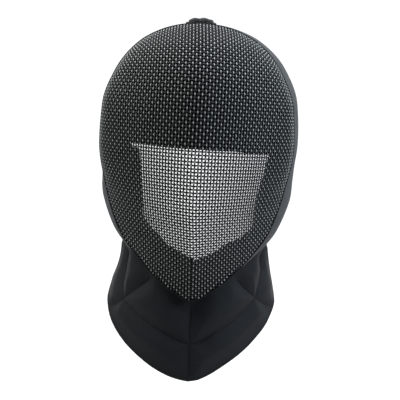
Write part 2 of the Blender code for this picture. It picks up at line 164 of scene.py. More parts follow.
# Side band from chin to crown: depth is a share of BAND_DEPTH, the flares are shares of BAND_FLARE
BAND_COLUMNS = ("height", "depth", "right_flare", "left_flare")
BAND_SECTIONS = (
    (0.00, 0.18, 0.00, 0.00),
    (0.06, 0.27, 0.12, 0.08),
    (0.14, 0.52, 0.50, 0.40),
    (0.24, 0.80, 0.96, 0.76),
    (0.34, 0.97, 1.10, 0.86),
    (0.42, 1.00, 0.86, 0.54),
    (0.50, 1.00, 0.67, 0.24),
    (0.60, 1.00, 0.68, 0.28),
    (0.70, 0.99, 0.65, 0.22),
    (0.82, 0.95, 0.54, 0.10),
    (0.92, 0.90, 0.28, 0.02),
    (1.00, 0.86, 0.00, 0.00),
)

# Hem of the bib from the front seam to the rear edge. The swells are metres added outwards on each side.
HEM_COLUMNS = ("along", "side", "back", "rise", "left_swell", "right_swell")
HEM_STATIONS = (
    (0.00, 0.00, 0.00, 0.00, 0.000, 0.000),
    (0.06, 0.09, 0.012, 0.011, 0.000, 0.000),
    (0.12, 0.18, 0.03, 0.040, 0.001, -0.001),
    (0.28, 0.44, 0.12, 0.18, 0.003, -0.002),
    (0.45, 0.71, 0.29, 0.36, 0.003, -0.002),
    (0.62, 0.91, 0.50, 0.58, 0.002, -0.001),
    (0.78, 1.00, 0.73, 0.75, -0.001, -0.001),
    (1.00, 0.99, 1.00, 0.88, -0.002, -0.001),
)

# Tongue from its clamped end: back is a share of TONGUE_REACH, fall of TONGUE_FALL
TONGUE_COLUMNS = ("along", "back", "fall")
TONGUE_STATIONS = (
    (0.00, 0.00, 0.00),
    (0.15, 0.27, 0.01),
    (0.35, 0.60, 0.08),
    (0.55, 0.86, 0.27),
    (0.75, 0.99, 0.55),
    (0.90, 1.00, 0.83),
    (1.00, 0.96, 1.00),
)

# Outline of the see-through window in metres above the chin, at distances from the keel plane
WINDOW_TOP = ((-0.095, 0.1505), (-0.060, 0.1520), (0.000, 0.1545), (0.035, 0.1512), (0.066, 0.1445),
              (0.095, 0.138))
WINDOW_FOOT = ((-0.095, 0.098), (-0.052, 0.079), (-0.040, 0.0685), (-0.0275, 0.056), (-0.011, 0.049),
               (0.005, 0.0432), (0.022, 0.0485), (0.035, 0.057), (0.055, 0.0635), (0.095, 0.072))
WINDOW_LEFT = ((0.060, 0.0520), (0.077, 0.0520), (0.109, 0.0532), (0.138, 0.0545), (0.150, 0.0550))
WINDOW_RIGHT = ((0.060, 0.0585), (0.0635, 0.0590), (0.090, 0.0620), (0.106, 0.0632), (0.127, 0.0680),
                (0.145, 0.0710))
# The window's upper left corner runs on as a notch this far from the keel plane
WINDOW_NOTCH_REACH = 0.067
WINDOW_NOTCH_DEPTH = 0.005

# Linings: lowest and highest share of the height, gap behind the wires' face, how far they are tucked past
# the rim, and the thickness of the crown's pad and of the others
LINING_FOOT = 0.0015
LINING_HEAD = 0.9985
LINING_GAP = WIRE_LAYER + 0.0009
LINING_TUCK = RIM_BEAD + 0.0014
CROWN_PADDING = 0.0085
SIDE_PADDING = 0.0055

# Crown pad: channels to one turn, one turn's run, the brow seam's share of the height and the pad's run
CHANNELS = 2.5
CHANNEL_RUN = 0.19
BROW_SEAM = 0.2
BROW_RUN = 0.12
SEAM_REACH = 0.004


class MaskSizes(bpy.types.PropertyGroup):
    """Sizes of the mask that a user would change."""

    pitch: bpy.props.FloatProperty(
        name="Wire Pitch", description="Distance between neighbouring wires", default=0.0031,
        min=0.002, max=0.006, unit="LENGTH", precision=4)
    wire: bpy.props.FloatProperty(
        name="Wire Diameter", description="Thickness of one coated wire", default=0.0016,
        min=0.0005, max=0.002, unit="LENGTH", precision=4)
    lean: bpy.props.FloatProperty(
        name="Weave Lean", description="Turn of the weave against the keel", default=math.radians(1.3),
        subtype="ANGLE", unit="ROTATION")
    start: bpy.props.FloatProperty(
        name="Weave Start", description="Share of the height where the level wires run straight across",
        default=0.64, min=0.4, max=0.9, subtype="FACTOR")
    pressure: bpy.props.FloatProperty(
        name="Bib Filling", description="Pressure that fills the quilted bib", default=4.0, min=0.0, max=20.0)
    puff: bpy.props.FloatProperty(
        name="Bib Puff Limit", description="Farthest that the bib's cloth may swell", default=0.005,
        min=0.0, max=0.016, unit="LENGTH", precision=4)


def colour_property(label, words, default):
    """A colour a user can pick, given as sRGB hex."""
    return bpy.props.FloatVectorProperty(
        name=label, description=words, subtype="COLOR", size=3, min=0.0, max=1.0, default=linear(default)[:3])


def linear(code):
    """Linear colour with alpha from an sRGB hex code."""
    values = [int(code[i:i + 2], 16) / 255 for i in (1, 3, 5)]
    return [v / 12.92 if v <= 0.04045 else ((v + 0.055) / 1.055) ** 2.4 for v in values] + [1.0]


class MaskColours(bpy.types.PropertyGroup):
    """Colours of the mask's finishes."""

    wire: colour_property("Wire", "Black coating of the steel wire", "#080909")
    # Bare steel where the crossings rub, lightened further as a painted highlight on the wires' tops
    rubbed_and_highlight: colour_property("Rubbed Wire", "Where the coating shines on the crossings", "#D2D6D7")
    rim: colour_property("Edge Binding", "Binding round the wire front", "#030303")
    band: colour_property("Band", "Cloth of the side band", "#2E3033")
    lining: colour_property("Lining", "Brushed lining cloth", "#08090A")
    bib: colour_property("Bib", "Padded cloth of the bib", "#090B10")
    tape: colour_property("Binding Tape", "Tape along the hems", "#060708")
    webbing: colour_property("Webbing", "Cover of the bracket's cap", "#151617")
    plate: colour_property("Bracket", "Painted steel of the bracket", "#17181A")
    floor: colour_property("Floor", "Pale studio floor", "#F4F4F4")


# Curves and tables


def slopes(xs, ys):
    """Slopes at the knots of a curve that never overshoots them."""
    steps = np.diff(xs)
    rates = np.diff(ys) / steps
    knots = np.zeros(len(xs))
    knots[0] = rates[0]
    knots[-1] = rates[-1]
    for k in range(1, len(xs) - 1):
        before, after = rates[k - 1], rates[k]
        if before * after > 0:
            left = 2 * steps[k] + steps[k - 1]
            right = steps[k] + 2 * steps[k - 1]
            knots[k] = (left + right) / (left / before + right / after)
    return knots


def smooth(xs, ys, x):
    """Values at x of the smooth curve through the knots."""
    xs, ys, x = np.asarray(xs, float), np.asarray(ys, float), np.asarray(x, float)
    m = slopes(xs, ys)
    k = np.clip(np.searchsorted(xs, x, side="right") - 1, 0, len(xs) - 2)
    step = xs[k + 1] - xs[k]
    t = np.clip((x - xs[k]) / step, 0.0, 1.0)
    return (ys[k] * (1 + 2 * t) * (1 - t) ** 2 + m[k] * step * t * (1 - t) ** 2
            + ys[k + 1] * t * t * (3 - 2 * t) + m[k + 1] * step * t * t * (t - 1))


def table_value(table, names, name, x):
    """Smooth value of a table's named column at x of its first column."""
    place = names.index(name)
    return smooth([row[0] for row in table], [row[place] for row in table], x)


def outline(pairs, x):
    """Value at x of an outline given as pairs."""
    return np.interp(x, [pair[0] for pair in pairs], [pair[1] for pair in pairs])


def fade(distance, reach):
    """1 at a line and 0 well past a reach from it."""
    return np.exp(-(np.asarray(distance) / reach) ** 2)


def ease(value):
    """Smooth step from 0 to 1."""
    value = min(max(value, 0.0), 1.0)
    return value * value * (3 - 2 * value)


@lru_cache(maxsize=None)
def section(share):
    """Half width, rim setback, depth and roundness of the wire front at a share of its height."""
    squares = [row[1] ** 2 for row in SECTIONS]
    square = float(smooth([row[0] for row in SECTIONS], squares, share))
    wide = MASK_WIDTH / 2 * math.sqrt(max(square, 0.0))
    setback, depth, roundness = (
        float(table_value(SECTIONS, SECTION_COLUMNS, name, share)) for name in SECTION_COLUMNS[2:])
    return wide, RIM_SETBACK * setback, MASK_DEPTH * depth, roundness


def level_point(share, turn, roll):
    """Point of a level section: turn runs from -1 at the left rim over the keel to 1 at the right."""
    wide, setback, depth, roundness = section(float(share))
    angle = min(abs(turn), 1.0) * math.pi / 2
    power = 2 / (roundness + roll)
    x = math.copysign(wide * math.sin(angle) ** power, turn)
    y = setback - depth * max(math.cos(angle), 0.0) ** power
    return CHIN + (x, y, share * MASK_HEIGHT)


def edge_roll(share, turn):
    """Roundness added near the rim, on the upper part of the front alone."""
    near = (abs(turn) - EDGE_ROLL_START) / (1.0 - EDGE_ROLL_START)
    high = (share - EDGE_ROLL_LOW) / (EDGE_ROLL_FULL - EDGE_ROLL_LOW)
    return EDGE_ROLL * ease(near) * ease(high)


def dome_point(share, turn):
    """Point of the plain dome, which the rim, the band and the bib are set against."""
    return level_point(share, turn, 0.0)


def front_point(share, turn):
    """Point of the wires' outer face, which rolls over more tightly towards the rim."""
    return level_point(share, turn, edge_roll(share, turn))


def turn_at(share, x):
    """Turn at which the wires' face reaches a distance x from the keel plane."""
    wide, _, _, roundness = section(float(share))
    reach = min(abs(x) / max(wide, 1e-6), 1.0)
    turn = 0.5
    for _ in range(12):
        turn = math.asin(reach ** ((roundness + edge_roll(share, turn)) / 2)) * 2 / math.pi
    return math.copysign(turn, x)


def dome_inward(share, turn, gap):
    """Point a gap behind the wires' outer face."""
    step = 2e-3
    up = front_point(min(share + step, 0.9999), turn) - front_point(max(share - step, 0.0), turn)
    side = front_point(share, min(turn + step, 1.0)) - front_point(share, max(turn - step, -1.0))
    normal = np.cross(side, up)
    length = np.linalg.norm(normal)
    point = front_point(share, turn)
    if length < 1e-12:
        return point
    normal /= length
    if np.dot(normal, point - FRONT_MIDDLE) > 0:
        normal = -normal
    return point + normal * gap


def even_shares(turn, count):
    """Height shares at even steps along the line of one turn, from chin to crown."""
    fine = (1 - np.cos(np.linspace(0.0, math.pi, 400))) / 2
    line = np.array([dome_point(share, turn) for share in fine])
    run = np.concatenate(([0.0], np.cumsum(np.linalg.norm(np.diff(line, axis=0), axis=1))))
    return np.interp(np.linspace(0.0, run[-1], count), run, fine)


def row_shares(count):
    """Height shares of rows spaced well along both the keel and the rim."""
    return (even_shares(0.0, count) + even_shares(1.0, count)) / 2


@lru_cache(maxsize=None)
def rim_frames(count=RIM_STEPS):
    """Right half of the rim, chin to crown: shares, edge points, face normals, rearward and outward ways."""
    shares = row_shares(count)
    points = np.array([dome_point(share, 1.0) for share in shares])
    tangents = np.gradient(points, axis=0)
    tangents[0] = (1.0, 0.0, 0.0)
    tangents[-1] = (-1.0, 0.0, 0.0)
    sides = points - np.array([dome_point(share, 1.0 - 1 / 14) for share in shares])
    sides[0] = points[0] - dome_point(0.03, 0.0)
    faces = np.cross(sides, tangents)
    backs = np.cross(tangents, faces)
    outs = np.column_stack((tangents[:, 2], np.zeros(count), -tangents[:, 0]))
    faces, backs, outs = (rows / np.linalg.norm(rows, axis=1)[:, None] for rows in (faces, backs, outs))
    return shares, points, faces, backs, outs


def bead_line(inset=0.0):
    """Right half of the edge binding's middle line."""
    _, points, faces, backs, _ = rim_frames()
    return points - faces * WIRE_LAYER / 2 + backs * (RIM_BEAD / 2 + SEAT_GAP - inset)


def band_half(back, side):
    """One half of the band's outer face at a share of its depth, from chin to crown."""
    shares, _, _, _, outs = rim_frames()
    flare_name = "right_flare" if side > 0 else "left_flare"
    reach = BAND_DEPTH * table_value(BAND_SECTIONS, BAND_COLUMNS, "depth", shares)
    flare = BAND_FLARE * table_value(BAND_SECTIONS, BAND_COLUMNS, flare_name, shares)
    swell = RIM_BEAD / 4 + flare * math.sin(back * math.pi / 2)
    line = bead_line() + outs * swell[:, None]
    line[:, 1] += RIM_BEAD / 2 + SEAT_GAP + back * reach
    line[0][0] = 0.0
    line[-1][0] = 0.0
    return line * (side, 1.0, 1.0)


def closed_loop(right, left):
    """Whole loop from the chin up the right half and down the left half."""
    return np.concatenate((right, left[-2:0:-1]))


# Modelling


def activate(piece):
    """Select only this piece and make it the active one."""
    bpy.ops.object.select_all(action="DESELECT")
    piece.select_set(True)
    bpy.context.view_layer.objects.active = piece


def apply_modifier(piece, kind, **settings):
    """Add a modifier with settings and apply it."""
    activate(piece)
    modifier = piece.modifiers.new(kind.lower(), kind)
    for key, value in settings.items():
        setattr(modifier, key, value)
    bpy.ops.object.modifier_apply(modifier=modifier.name)


def edit_mesh(piece, *steps):
    """Run mesh operators in edit mode on everything that the piece has."""
    activate(piece)
    bpy.ops.object.mode_set(mode="EDIT")
    bpy.ops.mesh.select_all(action="SELECT")
    for operator, settings in steps:
        operator(**settings)
    bpy.ops.object.mode_set(mode="OBJECT")


def set_points(piece, points):
    """Move the piece's points in their order."""
    piece.data.vertices.foreach_set("co", np.asarray(points, np.float32).ravel())
    piece.data.update()


def get_points(piece):
    """The piece's points as an array."""
    points = np.empty(len(piece.data.vertices) * 3, np.float32)
    piece.data.vertices.foreach_get("co", points)
    return points.reshape(-1, 3).astype(float)


def get_normals(piece):
    """The piece's point normals as an array."""
    return np.array([vertex.normal for vertex in piece.data.vertices])


def turn_faces(piece, ways):
    """Flip the faces if on the whole they point against the given ways."""
    if float(np.mean((get_normals(piece) * ways).sum(1))) < 0:
        edit_mesh(piece, (bpy.ops.mesh.flip_normals, {}))


def nearest_distance(points, lines):
    """Distance of each point from the nearest of the lines' points."""
    return np.array([np.min(np.linalg.norm(lines - point, axis=1)) for point in points])


def ring_outs(points):
    """Ways outwards from the mask's middle, in the plane of the rim."""
    outs = points - (CHIN + (0.0, 0.0, MASK_HEIGHT / 2))
    outs[:, 1] = 0.0
    return outs / np.linalg.norm(outs, axis=1)[:, None]


def sheet_from(name, rows, flip=False):
    """Grid primitive whose points are moved onto rows of points; its UV map runs along and across the rows."""
    rows = np.asarray(rows, float)
    count_v, count_u = rows.shape[:2]
    bpy.ops.object.select_all(action="DESELECT")
    bpy.ops.mesh.primitive_grid_add(x_subdivisions=count_u - 1, y_subdivisions=count_v - 1, size=1.0)
    piece = bpy.context.active_object
    piece.name = name
    piece.data.name = name
    flat = get_points(piece)
    u = np.rint((flat[:, 0] + 0.5) * (count_u - 1)).astype(int)
    v = np.rint((flat[:, 1] + 0.5) * (count_v - 1)).astype(int)
    set_points(piece, rows[v, u])
    if flip:
        edit_mesh(piece, (bpy.ops.mesh.flip_normals, {}))
    return piece


def grid_values(piece, table):
    """A table of rows and columns as one value for each point of a sheet."""
    count_v, count_u = table.shape
    places = piece.data.uv_layers.active.uv
    values = np.zeros(len(piece.data.vertices))
    for loop in piece.data.loops:
        u, v = places[loop.index].vector
        values[loop.vertex_index] = table[int(round(v * (count_v - 1))), int(round(u * (count_u - 1)))]
    return values


def weight_points(piece, name, weights):
    """Vertex group with a weight for every point."""
    group = piece.vertex_groups.new(name=name)
    for index, weight in enumerate(weights):
        group.add([index], float(weight), "REPLACE")
    return group


def point_values(piece, name, values):
    """Number stored on every point for the material to read."""
    layer = piece.data.attributes.new(name, "FLOAT", "POINT")
    layer.data.foreach_set("value", np.asarray(values, np.float32))


def tube_mesh(name, lines, radius, sides=6, flatten=1.0):
    """Piece made of tubes along lines of points; each line is (points, up directions, wear and painted
    highlight, closed).
    """
    verts, faces, rubs_and_highlights = [], [], []
    start = 0
    angles = np.arange(sides) * 2 * math.pi / sides + math.pi / sides
    for points, ups, rub_and_highlight, closed in lines:
        if closed:
            ahead = np.roll(points, -1, axis=0) - np.roll(points, 1, axis=0)
        else:
            ahead = np.gradient(points, axis=0)
        ahead /= np.maximum(np.linalg.norm(ahead, axis=1), 1e-12)[:, None]
        side = np.cross(ahead, ups)
        side /= np.maximum(np.linalg.norm(side, axis=1), 1e-12)[:, None]
        up = np.cross(side, ahead)
        ring = (np.cos(angles)[None, :, None] * side[:, None, :]
                + flatten * np.sin(angles)[None, :, None] * up[:, None, :]) * radius
        verts.append((points[:, None, :] + ring).reshape(-1, 3))
        # Wear and painted highlight go on the outer side of each tube alone
        rubs_and_highlights.append((rub_and_highlight[:, None] * np.maximum(np.sin(angles), 0.0)[None, :]).ravel())
        count = len(points)
        rows = np.arange(count if closed else count - 1)
        a = start + rows[:, None] * sides + np.arange(sides)[None, :]
        b = start + rows[:, None] * sides + (np.arange(sides)[None, :] + 1) % sides
        wrap = count * sides
        faces.extend(np.stack((a, b, start + (b - start + sides) % wrap, start + (a - start + sides) % wrap),
                              axis=2).reshape(-1, 4).tolist())
        if not closed:
            faces.append([start + k for k in reversed(range(sides))])
            faces.append([start + wrap - sides + k for k in range(sides)])
        start += wrap
    mesh = bpy.data.meshes.new(name)
    mesh.from_pydata(np.concatenate(verts).tolist(), [], faces)
    mesh.validate()
    piece = bpy.data.objects.new(name, mesh)
    bpy.context.scene.collection.objects.link(piece)
    point_values(piece, "rub_and_highlight", np.concatenate(rubs_and_highlights))
    mesh.shade_smooth()
    return piece


def tape_mesh(name, line, ups, radius, sides, flatten=1.0, closed=False):
    """Tape or binding as a single tube."""
    return tube_mesh(name, [(line, ups, np.zeros(len(line)), closed)], radius, sides, flatten)


def hand_over(piece, finish, nodes, angle=40.0):
    """Give the piece its material and its smooth shading, hang it on its body and hide the CAD nodes that it
    stands for.
    """
    activate(piece)
    bpy.ops.object.shade_smooth_by_angle(angle=math.radians(angle))
    piece.data.materials.clear()
    piece.data.materials.append(finish)
    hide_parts(*nodes)
    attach(piece, "root")


# Materials


def add_node(tree, kind, settings=(), links=()):
    """Add a node with its settings and links; settings name an input or one of the node's own options."""
    node = tree.nodes.new(kind)
    for key, value in dict(settings).items():
        if isinstance(key, str) and hasattr(node, key):
            setattr(node, key, value)
        else:
            node.inputs[key].default_value = value
    for key, source in dict(links).items():
        tree.links.new(source, node.inputs[key])
    return node


def new_finish(name, **values):
    """Material with a Principled shader whose constant values are set on its sockets."""
    finish = bpy.data.materials.new(name)
    finish.use_nodes = True
    shader = finish.node_tree.nodes["Principled BSDF"]
    for key, value in values.items():
        shader.inputs[key.replace("_", " ").title().replace("Ior", "IOR")].default_value = value
    return finish, finish.node_tree, shader


def shade(colour, factor):
    """A lighter or darker version of a colour with alpha."""
    return [min(channel * factor, 1.0) for channel in colour[:3]] + [1.0]


def wire_finish(colours):
    """Steel wire, drawn and coated black: a soft gloss, made bright where the crossings rub by bare steel and
    by a painted highlight.
    """
    finish, tree, shader = new_finish("black coated steel wire", roughness=0.36, specular_ior_level=0.14)
    place = add_node(tree, "ShaderNodeTexCoord").outputs["Object"]
    # Patches of thicker and thinner coating, about 12 mm across
    patches = add_node(tree, "ShaderNodeTexNoise", {"Scale": 80.0, "Detail": 3.0}, {"Vector": place})
    coat = add_node(tree, "ShaderNodeMix", {"data_type": "RGBA", 6: shade(colours.wire, 0.8),
                                            7: shade(colours.wire, 1.3)}, {0: patches.outputs["Fac"]})
    # Uneven wear and painted highlight from one crossing to the next, in spots about 2.4 mm across
    grain = add_node(tree, "ShaderNodeTexNoise", {"Scale": 420.0, "Detail": 2.0}, {"Vector": place})
    rub_and_highlight = add_node(tree, "ShaderNodeAttribute", {"attribute_name": "rub_and_highlight"})
    spread = add_node(tree, "ShaderNodeMapRange", {"From Min": 0.3, "From Max": 0.7, "To Min": 0.62},
                      {"Value": grain.outputs["Fac"]})
    peak = add_node(tree, "ShaderNodeMath", {"operation": "POWER", 1: 3.0}, {0: rub_and_highlight.outputs["Fac"]})
    wear_and_highlight = add_node(tree, "ShaderNodeMath", {"operation": "MULTIPLY"},
                    {0: peak.outputs[0], 1: spread.outputs[0]})
    # The coat is lifted towards near white by the wear and the painted highlight
    colour = add_node(tree, "ShaderNodeMix", {"data_type": "RGBA", 7: shade(colours.rubbed_and_highlight, 1.0)},
                      {0: wear_and_highlight.outputs[0], 6: coat.outputs[2]})
    tree.links.new(colour.outputs[2], shader.inputs["Base Color"])
    rough = add_node(tree, "ShaderNodeMapRange", {"To Min": 0.5, "To Max": 0.3}, {"Value": rub_and_highlight.outputs["Fac"]})
    tree.links.new(rough.outputs[0], shader.inputs["Roughness"])
    return finish


def cloth_finish(name, colour, roughness, threads, mottle, depth=0.15, sheen=0.0, seam=None, gloss=0.25):
    """Woven cloth: threads are (per width, per length) of the UV map, mottle the noise scale of its fade, seam
    the point value along which shade is painted into its creases.
    """
    finish, tree, shader = new_finish(name, roughness=roughness, specular_ior_level=gloss, sheen_weight=sheen,
                                      sheen_roughness=0.4)
    coords = add_node(tree, "ShaderNodeTexCoord")
    tint = add_node(tree, "ShaderNodeTexNoise", {"Scale": mottle, "Detail": 4.0},
                    {"Vector": coords.outputs["Object"]})
    base = add_node(tree, "ShaderNodeMix",
                    {"data_type": "RGBA", 6: shade(colour, 0.82), 7: shade(colour, 1.25)},
                    {0: tint.outputs["Fac"]})
    out = base.outputs[2]
    split = add_node(tree, "ShaderNodeSeparateXYZ", links={0: coords.outputs["UV"]})
    waves = []
    for socket, count in zip(("X", "Y"), threads):
        turn = add_node(tree, "ShaderNodeMath", {"operation": "MULTIPLY", 1: count * 2 * math.pi},
                        {0: split.outputs[socket]})
        waves.append(add_node(tree, "ShaderNodeMath", {"operation": "SINE"}, {0: turn.outputs[0]}).outputs[0])
    weave = add_node(tree, "ShaderNodeMath", {"operation": "MULTIPLY"}, {0: waves[0], 1: waves[1]})
    tone = add_node(tree, "ShaderNodeMapRange", {"From Min": -1.0, "To Min": 0.86, "To Max": 1.14},
                    {"Value": weave.outputs[0]})
    threaded = add_node(tree, "ShaderNodeMix", {"data_type": "RGBA", "blend_type": "MULTIPLY", 0: 1.0},
                        {6: out, 7: tone.outputs[0]})
    out = threaded.outputs[2]
    # Painted shade: the cloth is darkened where the seam value marks its creases and thinned edges
    if seam:
        line = add_node(tree, "ShaderNodeAttribute", {"attribute_name": seam})
        painted_crease_shade = add_node(tree, "ShaderNodeMix", {"data_type": "RGBA", 7: shade(colour, 0.45)},
                        {0: line.outputs["Fac"], 6: out})
        out = painted_crease_shade.outputs[2]
    tree.links.new(out, shader.inputs["Base Color"])
    # Fibres between the threads, about 0.4 mm long
    fibre = add_node(tree, "ShaderNodeTexNoise", {"Scale": 2600.0, "Detail": 2.0},
                     {"Vector": coords.outputs["Object"]})
    height = add_node(tree, "ShaderNodeMath", {"operation": "ADD"},
                      {0: weave.outputs[0], 1: fibre.outputs["Fac"]})
    bump = add_node(tree, "ShaderNodeBump", {"Strength": depth, "Distance": 0.0004},
                    {"Height": height.outputs[0]})
    tree.links.new(bump.outputs[0], shader.inputs["Normal"])
    return finish


def satin_finish(name, colour, roughness, grain, metallic=0.0, gloss=0.5):
    """Painted or moulded surface with a fine grain that breaks up its gloss."""
    finish, tree, shader = new_finish(name, roughness=roughness, metallic=metallic, specular_ior_level=gloss)
    place = add_node(tree, "ShaderNodeTexCoord").outputs["Object"]
    noise = add_node(tree, "ShaderNodeTexNoise", {"Scale": grain, "Detail": 5.0}, {"Vector": place})
    tone = add_node(tree, "ShaderNodeMix",
                    {"data_type": "RGBA", 6: shade(colour, 0.75), 7: shade(colour, 1.35)},
                    {0: noise.outputs["Fac"]})
    tree.links.new(tone.outputs[2], shader.inputs["Base Color"])
    rough = add_node(tree, "ShaderNodeMapRange", {"To Min": roughness * 0.8, "To Max": roughness * 1.25},
                     {"Value": noise.outputs["Fac"]})
    tree.links.new(rough.outputs[0], shader.inputs["Roughness"])
    bump = add_node(tree, "ShaderNodeBump", {"Strength": 0.2, "Distance": 0.0002},
                    {"Height": noise.outputs["Fac"]})
    tree.links.new(bump.outputs[0], shader.inputs["Normal"])
    return finish


# Woven wire


class DomeSurface:
    """The wire front's middle surface, carried past the rim so that a weave can be laid over it."""

    ROWS = 120
    COLUMNS = 121
    APRON = (0.006, 0.014, 0.024)

    def __init__(self):
        shares = row_shares(self.ROWS)
        turns = np.linspace(-1.0, 1.0, self.COLUMNS)
        _, _, _, backs, _ = rim_frames(self.ROWS)
        rows = []
        for share, back in zip(shares, backs):
            line = [dome_inward(share, turn, WIRE_LAYER / 2) for turn in turns]
            left = [line[0] + back * (-1.0, 1.0, 1.0) * reach for reach in reversed(self.APRON)]
            right = [line[-1] + back * reach for reach in self.APRON]
            rows.append(left + line + right)
        self.extra = len(self.APRON)
        self.columns = self.COLUMNS + 2 * self.extra
        points = [tuple(point) for row in rows for point in row]
        quads = []
        for row in range(self.ROWS - 1):
            for col in range(self.columns - 1):
                a = row * self.columns + col
                quads.append((a, a + 1, a + self.columns + 1, a + self.columns))
        self.tree = BVHTree.FromPolygons(points, quads)

    def nearest(self, point):
        """Nearest point, normal, and how many apron columns past the rim it is: 0 is on the mask."""
        spot, normal, index, _ = self.tree.find_nearest(point)
        col = index % (self.columns - 1)
        past = max(self.extra - col, col - (self.extra + self.COLUMNS - 2), 0)
        return spot, normal, past


def walk(surface, start, ahead, pitch, steps):
    """Points a pitch apart along the straightest line over the surface."""
    point, way = Vector(start), Vector(ahead).normalized()
    line = []
    for _ in range(steps):
        spot, normal, past = surface.nearest(point + way * pitch)
        for _ in range(3):
            step = (spot - point).normalized() * pitch
            spot, normal, past = surface.nearest(point + step)
        if past > 2:
            break
        way = spot - point
        way = (way - normal * way.dot(normal)).normalized()
        point = spot
        line.append((point, normal, past))
    return line


def cross_point(surface, near_a, near_b, corner, pitch):
    """Point on the surface a pitch away from two neighbours, across from the corner they share."""
    guess = near_a + near_b - corner
    for _ in range(5):
        spot, normal, _past = surface.nearest(guess)
        first, second = spot - near_a, spot - near_b
        miss = Vector((pitch - first.length, pitch - second.length))
        axis = first.cross(normal).normalized()
        other = normal.cross(axis)
        first.normalize()
        second.normalize()
        j = Matrix(((first.dot(axis), first.dot(other)), (second.dot(axis), second.dot(other))))
        square = j @ j.transposed() + Matrix(((0.02, 0.0), (0.0, 0.02)))
        shift = j.transposed() @ (square.inverted() @ miss)
        guess = spot + axis * shift.x + other * shift.y
    return surface.nearest(guess)


def weave_net(surface, sizes):
    """Crossings of the weave: (up, across) to (point, normal, past rim)."""
    share = sizes.start
    origin, normal, _ = surface.nearest(Vector(dome_point(share, 0.0)))
    upward = Vector(dome_point(share + 0.01, 0.0) - dome_point(share - 0.01, 0.0)).normalized()
    across = upward.cross(normal)
    if across.x < 0:
        across = -across
    lean_up = upward * math.cos(sizes.lean) + across * math.sin(sizes.lean)
    lean_across = across * math.cos(sizes.lean) - upward * math.sin(sizes.lean)
    net = {(0, 0): (origin, normal, 0)}
    for sign in (1, -1):
        for k, found in enumerate(walk(surface, origin, lean_up * sign, sizes.pitch, WEAVE_STEPS)):
            net[sign * (k + 1), 0] = found
        for k, found in enumerate(walk(surface, origin, lean_across * sign, sizes.pitch, WEAVE_STEPS)):
            net[0, sign * (k + 1)] = found
    for up in (1, -1):
        for side in (1, -1):
            i = up
            while (i, 0) in net:
                j = side
                while (i, j - side) in net and (i - up, j) in net:
                    found = cross_point(surface, net[i - up, j][0], net[i, j - side][0],
                                        net[i - up, j - side][0], sizes.pitch)
                    if found[2] > 2:
                        break
                    net[i, j] = found
                    j += side
                i += up
    return net


def trim_end(surface, inside, outside):
    """Point on the segment where it crosses the rim."""
    low, high = 0.0, 1.0
    for _ in range(7):
        middle = (low + high) / 2
        if surface.nearest(inside.lerp(outside, middle))[2] == 0:
            low = middle
        else:
            high = middle
    return inside.lerp(outside, low)


def wire_lines(surface, net, level):
    """Lines of one set of wires, each a list of (point, normal, offset sign) at and between the crossings."""
    runs = {}
    for (i, j), (point, normal, past) in net.items():
        key, place = (i, j) if level else (j, i)
        sign = (1 if (i + j) % 2 == 0 else -1) * (1 if level else -1)
        runs.setdefault(key, []).append((place, point, normal, past == 0, sign))
    lines = []
    for key in sorted(runs):
        run = sorted(runs[key], key=lambda item: item[0])
        piece = []
        for (k0, p0, n0, inside0, sign0), (k1, p1, n1, inside1, _) in zip(run[:-1], run[1:]):
            if k1 != k0 + 1:
                continue
            if not inside0 and not inside1:
                if piece:
                    lines.append((key, piece))
                    piece = []
                continue
            low, high = 0.0, 1.0
            if not inside0:
                edge = trim_end(surface, p1, p0)
                low = (edge - p0).length / max((p1 - p0).length, 1e-9)
            if not inside1:
                edge = trim_end(surface, p0, p1)
                high = (edge - p0).length / max((p1 - p0).length, 1e-9)
            stops = [low, 0.5] if low < 0.45 else [low]
            if high < 0.95 or not inside1:
                stops = [stop for stop in stops if stop < high - 0.05] + [high]
            for t in stops:
                piece.append((p0.lerp(p1, t), n0.lerp(n1, t), sign0 * (1 - 2 * t)))
            if not inside1 and piece:
                lines.append((key, piece))
                piece = []
        if piece:
            lines.append((key, piece))
    return [(key, piece) for key, piece in lines if len(piece) > 2]


def wire_pieces(sizes, finish):
    """Both sets of woven wires, in four pieces."""
    surface = DomeSurface()
    net = weave_net(surface, sizes)
    for level, names, split, base, top in WIRE_SETS:
        groups = {name: [] for name in names}
        for key, piece in wire_lines(surface, net, level):
            points = np.array([spot for spot, _, _ in piece])
            ups = np.array([normal for _, normal, _ in piece])
            ups *= np.where((ups * (points - FRONT_MIDDLE)).sum(1) < 0, -1.0, 1.0)[:, None]
            ups /= np.linalg.norm(ups, axis=1)[:, None]
            lift = np.array([offset for _, _, offset in piece])
            line = points + ups * (lift * sizes.wire / 2)[:, None]
            # Wear and painted highlight, strongest on the crossings' tops
            rub_and_highlight = base + (top - base) * np.clip(lift, 0.0, 1.0)
            groups[names[1] if key > split else names[0]].append((line, ups, rub_and_highlight, False))
        for name, lines in groups.items():
            piece = tube_mesh(name, lines, sizes.wire / 2, 6, WIRE_FLATNESS)
            hand_over(piece, finish, ["front_mesh"], 60.0)


class MASK_OT_wire_front(bpy.types.Operator):
    """Weave the wire front"""

    bl_idname = "mask.wire_front"
    bl_label = "Wire Front"

    def execute(self, context):
        wire_pieces(context.scene.mask_sizes, wire_finish(picked(context)))
        return {"FINISHED"}


def picked(context):
    """The chosen colours by name, as lists with alpha."""
    colours = context.scene.mask_colours
    return SimpleNamespace(**{name: [*getattr(colours, name), 1.0] for name in MaskColours.__annotations__})


# Edge binding and band


def make_rim(finish):
    """Folded binding that closes the cut ends of the wires."""
    _, _, faces, _, outs = rim_frames()
    right = bead_line(BINDING_WRAP) + outs * BINDING_SHIFT
    loop = closed_loop(right, right * (-1.0, 1.0, 1.0))
    ups = closed_loop(faces, faces * (-1.0, 1.0, 1.0))
    piece = tape_mesh("edge_binding", loop, ups, BINDING_RADIUS, 12, BINDING_FULLNESS, True)
    hand_over(piece, finish, ["mesh_rim"])


